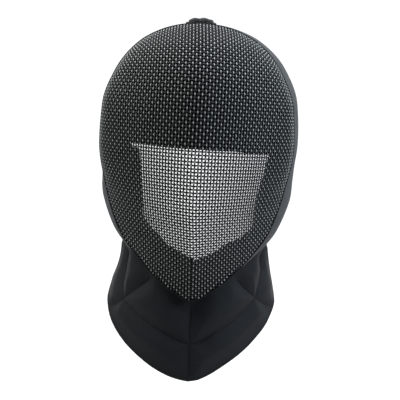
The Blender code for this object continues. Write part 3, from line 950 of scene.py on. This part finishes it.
def make_band(finish, tape):
    """Cloth-covered side band with a taped rear edge."""
    rows = []
    for back in np.linspace(0.0, 1.0, 15):
        loop = closed_loop(band_half(back, 1.0), band_half(back, -1.0))
        rows.append(np.concatenate((loop, loop[:1])))
    piece = sheet_from("band_cover", rows, True)
    edit_mesh(piece, (bpy.ops.mesh.remove_doubles, {"threshold": 1e-5}))
    apply_modifier(piece, "SOLIDIFY", thickness=BAND_THICKNESS, offset=-1.0)
    apply_modifier(piece, "BEVEL", width=0.0009, segments=2, limit_method="ANGLE", angle_limit=math.radians(50))
    hand_over(piece, finish, ["side_band"])
    rear = rows[-1][:-1]
    centre = rear - np.array((0.0, BAND_TAPE_INSET, 0.0))
    outs = ring_outs(centre)
    edge = tape_mesh("band_edge_tape", centre - outs * BAND_THICKNESS / 2, outs, BAND_TAPE_RADIUS, 10,
                     closed=True)
    hand_over(edge, tape, ["side_band"])


class MASK_OT_edge_and_band(bpy.types.Operator):
    """Make the edge binding and the cloth side band"""

    bl_idname = "mask.edge_and_band"
    bl_label = "Edge and Band"

    def execute(self, context):
        colours = picked(context)
        # Smooth black binding with a low gloss
        make_rim(satin_finish("black edge binding", colours.rim, 0.7, 900.0, 0.0, 0.15))
        # Plain matte cloth, threads 0.8 mm apart, drawn coarse enough to show
        cloth = cloth_finish("grey band cloth", colours.band, 0.85, (900, 40), 60.0, 0.35, 0.05)
        tape = satin_finish("grey edge tape", shade(colours.band, 0.55), 0.8, 700.0)
        make_band(cloth, tape)
        return {"FINISHED"}


# Linings


def window_head(x):
    """Height of the window's upper edge above the chin."""
    return outline(WINDOW_TOP, x)


def window_foot(x):
    """Height of the window's lower edge above the chin."""
    return outline(WINDOW_FOOT, x)


def share_on(line, turn, guess):
    """Height share where a turn of the front meets an outline of heights over distances."""
    share = guess
    for _ in range(14):
        x = front_point(share, turn)[0]
        share = 0.5 * share + 0.5 * float(line(x)) / MASK_HEIGHT
    return share


def rim_back(share, turn):
    """Way that leads straight on past the rim on the side of a turn."""
    shares, _, _, backs, _ = rim_frames()
    back = np.array([np.interp(share, shares, backs[:, axis]) for axis in range(3)])
    return back * (math.copysign(1.0, turn), 1.0, 1.0)


def lining_piece(name, spots, weights, thickness, finish, nodes):
    """Padded lining through rows of (share, turn); the weights thin it along seams and edges."""
    rows = [[dome_inward(share, turn, LINING_GAP) for share, turn in row] for row in spots]
    flat = np.asarray(weights, float)
    for end in (0, -1):
        if abs(spots[0][end][1]) == 1.0:
            # The pad's edge is tucked behind the edge binding
            for row, places in zip(rows, spots):
                row.insert(0 if end == 0 else len(row), row[end] + rim_back(*places[end]) * LINING_TUCK)
            flat = np.insert(flat, 0 if end == 0 else flat.shape[1], flat[:, end], axis=1)
    piece = sheet_from(name, rows)
    values = grid_values(piece, flat)
    weight_points(piece, "padding", values)
    # Painted shade in the creases: darker where the padding is thinned along seams and edges
    point_values(piece, "seam", np.clip(1.4 - 1.6 * values, 0.0, 1.0))
    turn_faces(piece, get_points(piece) - FRONT_MIDDLE)
    apply_modifier(piece, "SOLIDIFY", thickness=thickness, offset=-1.0, vertex_group="padding",
                   thickness_vertex_group=0.12)
    apply_modifier(piece, "BEVEL", width=0.0007, segments=2, limit_method="ANGLE", angle_limit=math.radians(55))
    hand_over(piece, finish, nodes, 50.0)


def seam_falloff(distance, reach):
    """Padding left at a distance from a seam."""
    return 1.0 - 0.78 * fade(distance, reach)


def edge_falloff(step, count, open_start=True, open_end=True):
    """Padding left near the first and last of a count of steps, where the pad's edge is free."""
    near = min(step if open_start else count, count - 1 - step if open_end else count)
    return min(1.0, 0.4 + 0.2 * near)


def make_crown_lining(finish):
    """Quilted pad behind the upper wires, with channels that run from the brow to the crown."""
    count_v, count_u = 52, 91
    turns = np.linspace(-1.0, 1.0, count_u)
    feet = [share_on(window_head, turn, 0.58) for turn in turns]
    spots, weights = [], []
    for row, step in enumerate(np.linspace(0.0, 1.0, count_v)):
        spots.append([(foot + (LINING_HEAD - foot) * step, turn) for foot, turn in zip(feet, turns)])
        line = []
        for col, turn in enumerate(turns):
            channel = abs((turn * CHANNELS + 0.5) % 1.0 - 0.5) / CHANNELS * CHANNEL_RUN
            brow = abs(step - BROW_SEAM) * BROW_RUN
            free = abs(front_point(feet[col], turn)[0]) < float(outline(WINDOW_LEFT, 0.1))
            line.append(min(seam_falloff(channel, SEAM_REACH), seam_falloff(brow, SEAM_REACH),
                            edge_falloff(row, count_v, free), edge_falloff(col, count_u)))
        weights.append(line)
    lining_piece("crown_pad", spots, weights, CROWN_PADDING, finish, ["crown_lining"])


def make_cheek_lining(side, finish):
    """Pad between the window and the rim on one side."""
    count_v, count_u = 40, 22
    edges = WINDOW_RIGHT if side > 0 else WINDOW_LEFT
    spots, weights = [], []
    for row, step in enumerate(np.linspace(0.0, 1.0, count_v)):
        low = float(window_foot(side * float(outline(edges, 0.07))))
        high = float(window_head(side * 0.055))
        height = low + (high - low) * step
        first = abs(turn_at(height / MASK_HEIGHT, float(outline(edges, height))))
        line, thin = [], []
        for col, turn in enumerate(np.linspace(first, 1.0, count_u)):
            foot = share_on(window_foot, side * turn, 0.3)
            head = share_on(window_head, side * turn, 0.58)
            x = abs(front_point(foot + (head - foot) * step, turn)[0])
            if side < 0 and x < WINDOW_NOTCH_REACH:
                head -= WINDOW_NOTCH_DEPTH / MASK_HEIGHT
            line.append((foot + (head - foot) * step, side * turn))
            thin.append(min(edge_falloff(row, count_v, False, False), edge_falloff(col, count_u)))
        spots.append(line)
        weights.append(thin)
    name = "right" if side > 0 else "left"
    lining_piece(f"cheek_pad_{name}", spots, weights, SIDE_PADDING, finish, [f"cheek_lining_{name}"])


def make_chin_lining(finish):
    """Pad below the window, with the V-shaped upper edge."""
    count_v, count_u = 30, 61
    turns = np.linspace(-1.0, 1.0, count_u)
    heads = [share_on(window_foot, turn, 0.25) for turn in turns]
    spots, weights = [], []
    for row, step in enumerate(np.linspace(0.0, 1.0, count_v)):
        spots.append([(LINING_FOOT + (head - LINING_FOOT) * step, turn) for head, turn in zip(heads, turns)])
        line = []
        for col, turn in enumerate(turns):
            free = abs(front_point(heads[col], turn)[0]) < float(outline(WINDOW_LEFT, 0.1))
            line.append(min(seam_falloff(abs(turn) * 0.05, 0.003), edge_falloff(row, count_v, True, free),
                            edge_falloff(col, count_u), 0.3 + 2.0 * step))
        weights.append(line)
    lining_piece("chin_pad", spots, weights, SIDE_PADDING, finish, ["chin_lining"])


class MASK_OT_linings(bpy.types.Operator):
    """Make the padded linings round the window"""

    bl_idname = "mask.linings"
    bl_label = "Linings"

    def execute(self, context):
        # Brushed black cloth over thin foam: no gloss, threads 1.3 mm apart across the widest pads
        finish = cloth_finish("black brushed lining cloth", picked(context).lining, 0.95, (220, 90), 90.0, 0.3,
                              seam="seam", gloss=0.1)
        make_crown_lining(finish)
        make_cheek_lining(1.0, finish)
        make_cheek_lining(-1.0, finish)
        make_chin_lining(finish)
        return {"FINISHED"}


# Bib


def hem_point(along):
    """Point of the bib's hem: along runs from -1 at the left rear edge over the tip to 1 at the right."""
    side = math.copysign(1.0, along)
    reach = abs(along)
    values = {name: float(table_value(HEM_STATIONS, HEM_COLUMNS, name, reach)) for name in HEM_COLUMNS[1:]}
    swell = values["right_swell"] if side > 0 else values["left_swell"]
    x = BIB_HALF_WIDTH * values["side"] + swell
    y = -BIB_LEAN + (BIB_SIDE_SETBACK + BIB_LEAN) * values["back"] - swell * 0.5
    return CHIN + (side * x, y, -BIB_DROP + BIB_DROP * values["rise"] - abs(swell) * 0.3)


@lru_cache(maxsize=None)
def bib_edge(side):
    """Sewn edge of one half of the bib as running length and points."""
    edge = band_half(1.0, side) + (0.0, SEAT_GAP, 0.0)
    run = np.concatenate(([0.0], np.cumsum(np.linalg.norm(np.diff(edge, axis=0), axis=1))))
    rising = edge[:, 2] >= edge[0, 2]
    last = float(np.interp(CHIN[2] + BIB_ATTACHED_HEIGHT, edge[rising, 2], run[rising]))
    return run, edge, last


def bib_point(along, down):
    """Point of the bib's outer face before it is filled: down runs from the sewn edge to the hem."""
    side = 1.0 if along >= 0 else -1.0
    reach = abs(along)
    run, edge, last = bib_edge(side)
    top = np.array([np.interp(reach * last, run, edge[:, axis]) for axis in range(3)])
    out = np.array((side * math.sin(reach * math.pi / 2), -math.cos(reach * math.pi / 2), 0.0))
    belly_fade = BELLY_FADE_RIGHT if side > 0 else BELLY_FADE_LEFT
    belly = math.sin(down * math.pi) * BIB_BELLY * (1.0 - belly_fade * reach)
    point = top + (hem_point(along) - top) * down + out * belly
    if along == 0.0:
        point[0] = 0.0
    return point


# Quilting seams of the bib as (along, down) points from end to end, the side of negative X first
BIB_SEAMS = (
    ((0.0, 0.0), (0.0, 1.0)),
    ((0.0, 0.535), (-0.20, 0.53), (-0.35, 0.56), (-0.49, 0.60), (-0.615, 0.65)),
    ((-0.615, 0.65), (-0.72, 0.57), (-0.86, 0.31), (-0.90, 0.0)),
    ((-0.615, 0.65), (-0.57, 0.41), (-0.51, 0.18), (-0.46, 0.0)),
    ((-0.615, 0.65), (-0.65, 0.84), (-0.67, 1.0)),
    ((0.0, 0.535), (0.19, 0.525), (0.33, 0.54), (0.48, 0.55), (0.615, 0.55)),
    ((0.615, 0.55), (0.71, 0.48), (0.84, 0.38), (0.93, 0.0)),
    ((0.615, 0.55), (0.56, 0.30), (0.53, 0.14), (0.50, 0.0)),
    ((0.615, 0.55), (0.66, 0.75), (0.72, 1.0)),
)


def seam_distance(points):
    """Distance of each point from the nearest quilting seam."""
    lines = []
    for seam in BIB_SEAMS:
        t = np.linspace(0.0, len(seam) - 1, 60 * (len(seam) - 1))
        along = np.interp(t, np.arange(len(seam)), [spot[0] for spot in seam])
        down = np.interp(t, np.arange(len(seam)), [spot[1] for spot in seam])
        lines.extend(bib_point(a, d) for a, d in zip(along, down))
    return nearest_distance(points, np.array(lines))


def fill_pad(piece, hold, pressure, limit):
    """Let pressure swell the cloth where it isn't held, and cap how far each point moves."""
    start = get_points(piece)
    group = weight_points(piece, "held", hold)
    activate(piece)
    cloth = piece.modifiers.new("filling", "CLOTH")
    settings = cloth.settings
    settings.quality = 6
    settings.mass = 0.3
    settings.tension_stiffness = 12.0
    settings.compression_stiffness = 12.0
    settings.shear_stiffness = 4.0
    settings.bending_stiffness = 0.3
    settings.vertex_group_mass = group.name
    settings.pin_stiffness = 4.0
    settings.use_pressure = True
    settings.uniform_pressure_force = pressure
    settings.effector_weights.gravity = 0.0
    cloth.collision_settings.use_self_collision = False
    scene = bpy.context.scene
    for number in range(1, 21):
        scene.frame_set(number)
    bpy.ops.object.modifier_apply(modifier=cloth.name)
    scene.frame_set(1)
    moved = get_points(piece) - start
    length = np.linalg.norm(moved, axis=1)
    factor = np.where(length > limit, limit / np.maximum(length, 1e-9), 1.0)
    set_points(piece, start + moved * factor[:, None])
    return float(length.max())


def make_bib(sizes, finish):
    """Quilted bib: a sewn sheet, raised between its seams, with a padded wall."""
    count_u, count_v = 121, 37
    rows = [[bib_point(round(along, 6), down) for along in np.linspace(-1.0, 1.0, count_u)]
            for down in np.linspace(0.0, 1.0, count_v)]
    piece = sheet_from("bib_quilt", rows)
    points = get_points(piece)
    turn_faces(piece, points * (1.0, 0.0, 0.0))
    grid = np.asarray(rows)
    border = np.concatenate((grid[-1], grid[:, 0], grid[:, -1]))
    sewn = np.concatenate((border, grid[0]))
    hold = fade(np.minimum(seam_distance(points), nearest_distance(points, sewn)), 0.003)
    print("bib swells", round(fill_pad(piece, hold, sizes.pressure, sizes.puff) * 1000, 2), "mm")
    apply_modifier(piece, "SUBSURF", levels=1, render_levels=1)
    points = get_points(piece)
    away, sewn_away = seam_distance(points), nearest_distance(points, sewn)
    # The pressure barely lifts the held cloth, so most of the quilting is given here: a sharp stitched
    # crease at the foot of a soft valley, and a filling that stands highest far from every seam and edge
    dip = STITCH[0] * np.exp(-away / STITCH[1]) + VALLEY[0] * fade(away, VALLEY[1])
    dip *= 1.0 - fade(sewn_away, SEWN_REACH)
    rise = FILLING[0] * (1.0 - fade(np.minimum(away, sewn_away), FILLING[1]))
    set_points(piece, points + get_normals(piece) * (rise - dip)[:, None])
    # Painted shade along the stitched creases, in a narrow dark line
    point_values(piece, "seam", fade(away, 0.0009))
    thin = np.minimum(away, nearest_distance(points, border))
    weight_points(piece, "padding", 1.0 - 0.6 * fade(thin, 0.004))
    apply_modifier(piece, "SOLIDIFY", thickness=BIB_THICKNESS, offset=-1.0, vertex_group="padding",
                   thickness_vertex_group=0.1)
    hand_over(piece, finish, ["bib"], 60.0)


def make_binding(finish):
    """Tape sewn round the bib's hem and up its rear edges."""
    downs = np.linspace(0.12, 1.0, 26)
    alongs = np.linspace(-1.0, 1.0, 141)
    line = [bib_point(-1.0, down) for down in downs[:-1]]
    line += [bib_point(round(along, 6), 1.0) for along in alongs]
    line += [bib_point(1.0, down) for down in downs[-2::-1]]
    line = np.array(line)
    turns = np.arctan2(line[:, 0], 0.05 - line[:, 1])
    outs = np.column_stack((np.sin(turns), -np.cos(turns), np.zeros(len(line))))
    centre = line - outs * BIB_THICKNESS * 0.2
    piece = tape_mesh("bib_binding_tape", centre, outs, HEM_TAPE_RADIUS, 10, HEM_TAPE_FLATNESS)
    hand_over(piece, finish, ["bib_binding"])


def make_seam_tape(finish):
    """Tape that closes the seam between the band's rear edge and the bib."""
    halves = []
    for side in (-1.0, 1.0):
        run, edge, last = bib_edge(side)
        stops = np.linspace(last, 0.0, 70)
        halves.append(np.column_stack([np.interp(stops, run, edge[:, axis]) for axis in range(3)]))
    line = np.concatenate((halves[0], halves[1][-2::-1]))
    line[:, 1] -= 0.0006
    outs = ring_outs(line)
    piece = tape_mesh("bib_seam_tape", line - outs * SEAM_TAPE_DEPTH, outs, SEAM_TAPE_RADIUS, 10,
                      SEAM_TAPE_FLATNESS)
    hand_over(piece, finish, ["bib"])


class MASK_OT_bib(bpy.types.Operator):
    """Make the quilted bib and its binding"""

    bl_idname = "mask.bib"
    bl_label = "Bib"

    def execute(self, context):
        colours = picked(context)
        # Close-woven padded cloth, threads 0.4 to 0.7 mm apart: nearly black, a blue cast and a faint sheen
        cloth = cloth_finish("blue-black bib cloth", colours.bib, 0.72, (420, 130), 45.0, 0.2, 0.05,
                             "seam", 0.18)
        make_bib(context.scene.mask_sizes, cloth)
        tape = satin_finish("black binding tape", colours.tape, 0.7, 800.0, 0.0, 0.2)
        make_binding(tape)
        make_seam_tape(tape)
        return {"FINISHED"}


# Tongue and bracket


def crown_height(back, x):
    """Height of the band's outer face over the crown."""
    line = band_half(back, 1.0)[::-1]
    near = [point for point in line if point[2] > CHIN[2] + MASK_HEIGHT * 0.9]
    return float(np.interp(abs(x), [point[0] for point in near], [point[2] for point in near]))


def bracket_y():
    """Y of the bracket's middle."""
    return band_half(0.5, 1.0)[-1][1]


def tongue_line(along):
    """Middle of the tongue's upper face."""
    under = crown_height(0.0, TONGUE_WIDTH / 2) - BAND_THICKNESS - SEAT_GAP
    start = np.array((0.0, bracket_y() - BRACKET_LENGTH / 2, under))
    back = TONGUE_REACH * float(table_value(TONGUE_STATIONS, TONGUE_COLUMNS, "back", along))
    fall = TONGUE_FALL * float(table_value(TONGUE_STATIONS, TONGUE_COLUMNS, "fall", along))
    return start + (0.0, back, -fall)


def make_tongue(finish, tape):
    """Padded cover over the sprung strip, with a round free end and a taped edge."""
    count_u, count_v = 17, 61
    rows, weights = [], []
    for along in np.linspace(0.0, 1.0, count_v):
        left = max(0.0, (along - (1.0 - TONGUE_ROUND)) / TONGUE_ROUND)
        half = TONGUE_WIDTH / 2 * (math.sqrt(max(1.0 - left * left, 0.03)) if left > 0 else 1.0)
        rows.append([tongue_line(along) + (x * half, 0.0, 0.0) for x in np.linspace(-1.0, 1.0, count_u)])
        weights.append([max(0.12, (1.0 - abs(x) ** 4) * (1.0 - 0.55 * math.exp(-(x / 0.1) ** 2)))
                        for x in np.linspace(-1.0, 1.0, count_u)])
    piece = sheet_from("tongue_pad", rows)
    values = grid_values(piece, np.asarray(weights))
    weight_points(piece, "padding", values)
    # Painted shade where the padding is thinned, along the middle stitching and the edges
    point_values(piece, "seam", np.clip(1.3 - 1.6 * values, 0.0, 1.0))
    turn_faces(piece, (0.0, 1.0, 1.0))
    apply_modifier(piece, "SOLIDIFY", thickness=TONGUE_THICKNESS, offset=-1.0, vertex_group="padding",
                   thickness_vertex_group=0.25)
    apply_modifier(piece, "SUBSURF", levels=1, render_levels=1)
    hand_over(piece, finish, ["tongue"], 60.0)
    grid = np.asarray(rows)
    edge = np.concatenate((grid[3:, 0], grid[-1, 1:], grid[3:-1, -1][::-1]))
    ahead = np.gradient(edge, axis=0)
    ups = np.cross(ahead, (1.0, 0.0, 0.0))
    flatly = np.linalg.norm(ups, axis=1) < 1e-4
    ups[flatly] = (0.0, 1.0, 0.2)
    ups /= np.linalg.norm(ups, axis=1)[:, None]
    down = np.where(ups[:, 1:2] + ups[:, 2:3] > 0, ups, -ups)
    strip = tape_mesh("tongue_edge_tape", edge - down * 0.0007, down, TONGUE_TAPE_RADIUS, 8)
    hand_over(strip, tape, ["tongue"])


def make_bracket(finish):
    """Steel plate pressed to the curve of the crown."""
    middle = bracket_y()
    lift = crown_height(1.0, 0.0) + SEAT_GAP
    bpy.ops.object.select_all(action="DESELECT")
    bpy.ops.mesh.primitive_cube_add(size=1.0)
    piece = bpy.context.active_object
    piece.name = "bracket_plate"
    edit_mesh(piece, (bpy.ops.transform.resize, {"value": (BRACKET_WIDTH, BRACKET_LENGTH, BRACKET_PLATE)}),
              (bpy.ops.mesh.subdivide, {"number_cuts": 5}))
    points = get_points(piece)
    # The plate's ends follow the crown's curve
    points[:, 2] += lift + BRACKET_PLATE / 2 - 0.0008 * (points[:, 0] / (BRACKET_WIDTH / 2)) ** 2
    points[:, 1] += middle
    set_points(piece, points)
    apply_modifier(piece, "BEVEL", width=0.0004, segments=2, limit_method="ANGLE", angle_limit=math.radians(50))
    hand_over(piece, finish, ["tongue_bracket"])


def make_cap(finish):
    """Folded webbing sewn over the bracket: a low lumpy hump with raised ribs."""
    middle = bracket_y()
    lift = crown_height(1.0, 0.0) + SEAT_GAP + BRACKET_PLATE
    long = BRACKET_LENGTH * 0.8
    rows = []
    for v in np.linspace(-1.0, 1.0, 49):
        line = []
        for u in np.linspace(-1.0, 1.0, 65):
            # Rounded hump with a flat skirt at its foot
            hump = max(0.0, 1.0 - abs(u) ** 2.6) ** 0.6 * max(0.0, 1.0 - abs(v) ** 6) ** 0.5
            rib = (0.0002 * math.sin(u * CAP_WIDTH / 2 / 0.0019 * 2 * math.pi)
                   + 0.0004 * math.sin(u * 7.4 - 0.6 + v)) * hump
            rise = 0.0005 + (CAP_HEIGHT - 0.0005) * hump + rib
            line.append((u * CAP_WIDTH / 2, middle + v * long / 2, lift + rise))
        rows.append(line)
    piece = sheet_from("cap_webbing", rows)
    apply_modifier(piece, "SOLIDIFY", thickness=0.0005, offset=-1.0)
    hand_over(piece, finish, ["tongue_cap"], 60.0)


class MASK_OT_tongue(bpy.types.Operator):
    """Make the tongue, its bracket and the bracket's cap"""

    bl_idname = "mask.tongue"
    bl_label = "Tongue and Bracket"

    def execute(self, context):
        colours = picked(context)
        # Soft black knit over the sprung strip
        pad = cloth_finish("black tongue cloth", colours.lining, 0.9, (30, 160), 120.0, 0.3, 0.1, "seam")
        make_tongue(pad, satin_finish("black tongue tape", colours.tape, 0.7, 800.0))
        # Enamelled steel: a hard low gloss
        make_bracket(satin_finish("black enamelled steel", colours.plate, 0.4, 600.0, 0.3))
        # Ribbed webbing, 1.9 mm from rib to rib
        make_cap(cloth_finish("black ribbed webbing", colours.webbing, 0.8, (24, 20), 200.0, 0.6, 0.1))
        return {"FINISHED"}


# Stage

CAMERA_TARGET = Vector((0.00536, -0.03, 0.10679)) + Vector(CHIN)
CAMERA_DISTANCE = 0.75
CAMERA_RISE = math.radians(14.0)
CAMERA_ROLL = 0.03836
CAMERA_FOCAL = 838.6
IMAGE_SIZE = 400
SENSOR = 36.0

# Floor: where it starts in front, where it sweeps up, the sweep's radius, its whole run and its half width
FLOOR_FRONT = -25.0
SWEEP_START = 1.0
SWEEP_RADIUS = 2.0
FLOOR_RUN = 34.0
FLOOR_HALF_WIDTH = 25.0

# Soft boxes: name, place, size, power and colour. All are aimed at LIGHT_AIM
LIGHT_AIM = (0.0, 0.0, -0.10)
LIGHTS = (
    ("top_softbox", (0.0, -0.1, 1.2), (0.6, 0.4), 21.0, "#FFFFFF"),
    ("left_softbox", (-0.85, 0.05, 0.75), (0.3, 0.6), 14.0, "#FFFFFF"),
    ("right_softbox", (1.0, -0.3, 0.4), (0.3, 0.8), 14.0, "#D2E8F4"),
    ("back_softbox", (0.8, 0.25, 0.85), (0.3, 0.6), 9.0, "#F2F8FF"),
)


def make_camera():
    """Camera in front of the mask and a little above it."""
    back = Vector((0.0, -math.cos(CAMERA_RISE), math.sin(CAMERA_RISE)))
    side = Vector((1.0, 0.0, 0.0))
    up = Vector((0.0, math.sin(CAMERA_RISE), math.cos(CAMERA_RISE)))
    right = side * math.cos(CAMERA_ROLL) + up * math.sin(CAMERA_ROLL)
    above = up * math.cos(CAMERA_ROLL) - side * math.sin(CAMERA_ROLL)
    data = bpy.data.cameras.new("camera")
    data.sensor_width = SENSOR
    data.lens = SENSOR * CAMERA_FOCAL / IMAGE_SIZE
    data.clip_start = 0.05
    data.clip_end = 50.0
    camera = bpy.data.objects.new("camera", data)
    bpy.context.scene.collection.objects.link(camera)
    spot = CAMERA_TARGET + back * CAMERA_DISTANCE
    camera.matrix_world = Matrix(((right.x, above.x, back.x, spot.x), (right.y, above.y, back.y, spot.y),
                                  (right.z, above.z, back.z, spot.z), (0.0, 0.0, 0.0, 1.0)))
    bpy.context.scene.camera = camera


def soft_light(name, spot, size, power, colour):
    """Rectangular soft light at a spot, aimed at the mask."""
    data = bpy.data.lights.new(name, "AREA")
    data.shape = "RECTANGLE"
    data.size, data.size_y = size
    data.energy = power
    data.color = linear(colour)[:3]
    light = bpy.data.objects.new(name, data)
    bpy.context.scene.collection.objects.link(light)
    light.location = spot
    light.rotation_euler = (Vector(LIGHT_AIM) - Vector(spot)).to_track_quat("-Z", "Y").to_euler()


def make_floor(colour):
    """Pale floor that sweeps up into a backdrop."""
    low = CHIN[2] - BIB_DROP - 0.30
    flat = SWEEP_START - FLOOR_FRONT
    rows = []
    for run in np.linspace(0.0, FLOOR_RUN, 103):
        if run < flat:
            y, z = FLOOR_FRONT + run, low
        else:
            turn = min((run - flat) / SWEEP_RADIUS, math.pi / 2)
            y = SWEEP_START + SWEEP_RADIUS * math.sin(turn)
            z = low + SWEEP_RADIUS * (1 - math.cos(turn)) + max(run - flat - SWEEP_RADIUS * math.pi / 2, 0.0)
        rows.append([(x, y, z) for x in np.linspace(-FLOOR_HALF_WIDTH, FLOOR_HALF_WIDTH, 12)])
    floor = sheet_from("floor", rows)
    activate(floor)
    bpy.ops.object.shade_smooth()
    finish, tree, shader = new_finish("pale studio paper", roughness=0.9)
    place = add_node(tree, "ShaderNodeTexCoord").outputs["Object"]
    noise = add_node(tree, "ShaderNodeTexNoise", {"Scale": 6.0, "Detail": 4.0}, {"Vector": place})
    tone = add_node(tree, "ShaderNodeMix",
                    {"data_type": "RGBA", 6: shade(colour, 0.24), 7: shade(colour, 0.26)},
                    {0: noise.outputs["Fac"]})
    tree.links.new(tone.outputs[2], shader.inputs["Base Color"])
    # The paper is lit through from behind, so that it stays white right up to the mask
    shader.inputs["Emission Color"].default_value = colour
    shader.inputs["Emission Strength"].default_value = 0.98
    floor.data.materials.append(finish)


def make_lights():
    """Four soft boxes, above, on both sides and behind, and a pale room."""
    for light in LIGHTS:
        soft_light(*light)
    world = bpy.data.worlds.new("pale room")
    world.use_nodes = True
    world.node_tree.nodes["Background"].inputs["Color"].default_value = (0.95, 0.97, 1.0, 1.0)
    world.node_tree.nodes["Background"].inputs["Strength"].default_value = 0.2
    bpy.context.scene.world = world
    bpy.context.scene.view_settings.view_transform = "Standard"


class MASK_OT_stage(bpy.types.Operator):
    """Set the floor, the lights and the camera"""

    bl_idname = "mask.stage"
    bl_label = "Stage"

    def execute(self, context):
        make_camera()
        make_floor(picked(context).floor)
        make_lights()
        return {"FINISHED"}


class MASK_PT_panel(bpy.types.Panel):
    """Buttons and sizes of the mask"""

    bl_idname = "MASK_PT_panel"
    bl_label = "Fencing Mask"
    bl_space_type = "VIEW_3D"
    bl_region_type = "UI"
    bl_category = "Mask"

    def draw(self, context):
        layout = self.layout
        for group in (context.scene.mask_sizes, context.scene.mask_colours):
            for name in group.__class__.__annotations__:
                layout.prop(group, name)
        for operator in OPERATORS:
            layout.operator(operator.bl_idname)


OPERATORS = (
    MASK_OT_stage,
    MASK_OT_wire_front,
    MASK_OT_edge_and_band,
    MASK_OT_linings,
    MASK_OT_bib,
    MASK_OT_tongue,
)
CLASSES = (MaskSizes, MaskColours, *OPERATORS, MASK_PT_panel)


def register():
    """Register the classes and hang the settings on the scene."""
    for kind in CLASSES:
        bpy.utils.register_class(kind)
    bpy.types.Scene.mask_sizes = bpy.props.PointerProperty(type=MaskSizes)
    bpy.types.Scene.mask_colours = bpy.props.PointerProperty(type=MaskColours)


def unregister():
    """Take the settings and the classes away again."""
    del bpy.types.Scene.mask_colours
    del bpy.types.Scene.mask_sizes
    for kind in reversed(CLASSES):
        bpy.utils.unregister_class(kind)


def main():
    """Build the mask and its stage."""
    register()
    bpy.ops.mask.stage()
    bpy.ops.mask.wire_front()
    bpy.ops.mask.edge_and_band()
    bpy.ops.mask.linings()
    bpy.ops.mask.bib()
    bpy.ops.mask.tongue()


if __name__ == "__main__":
    main()
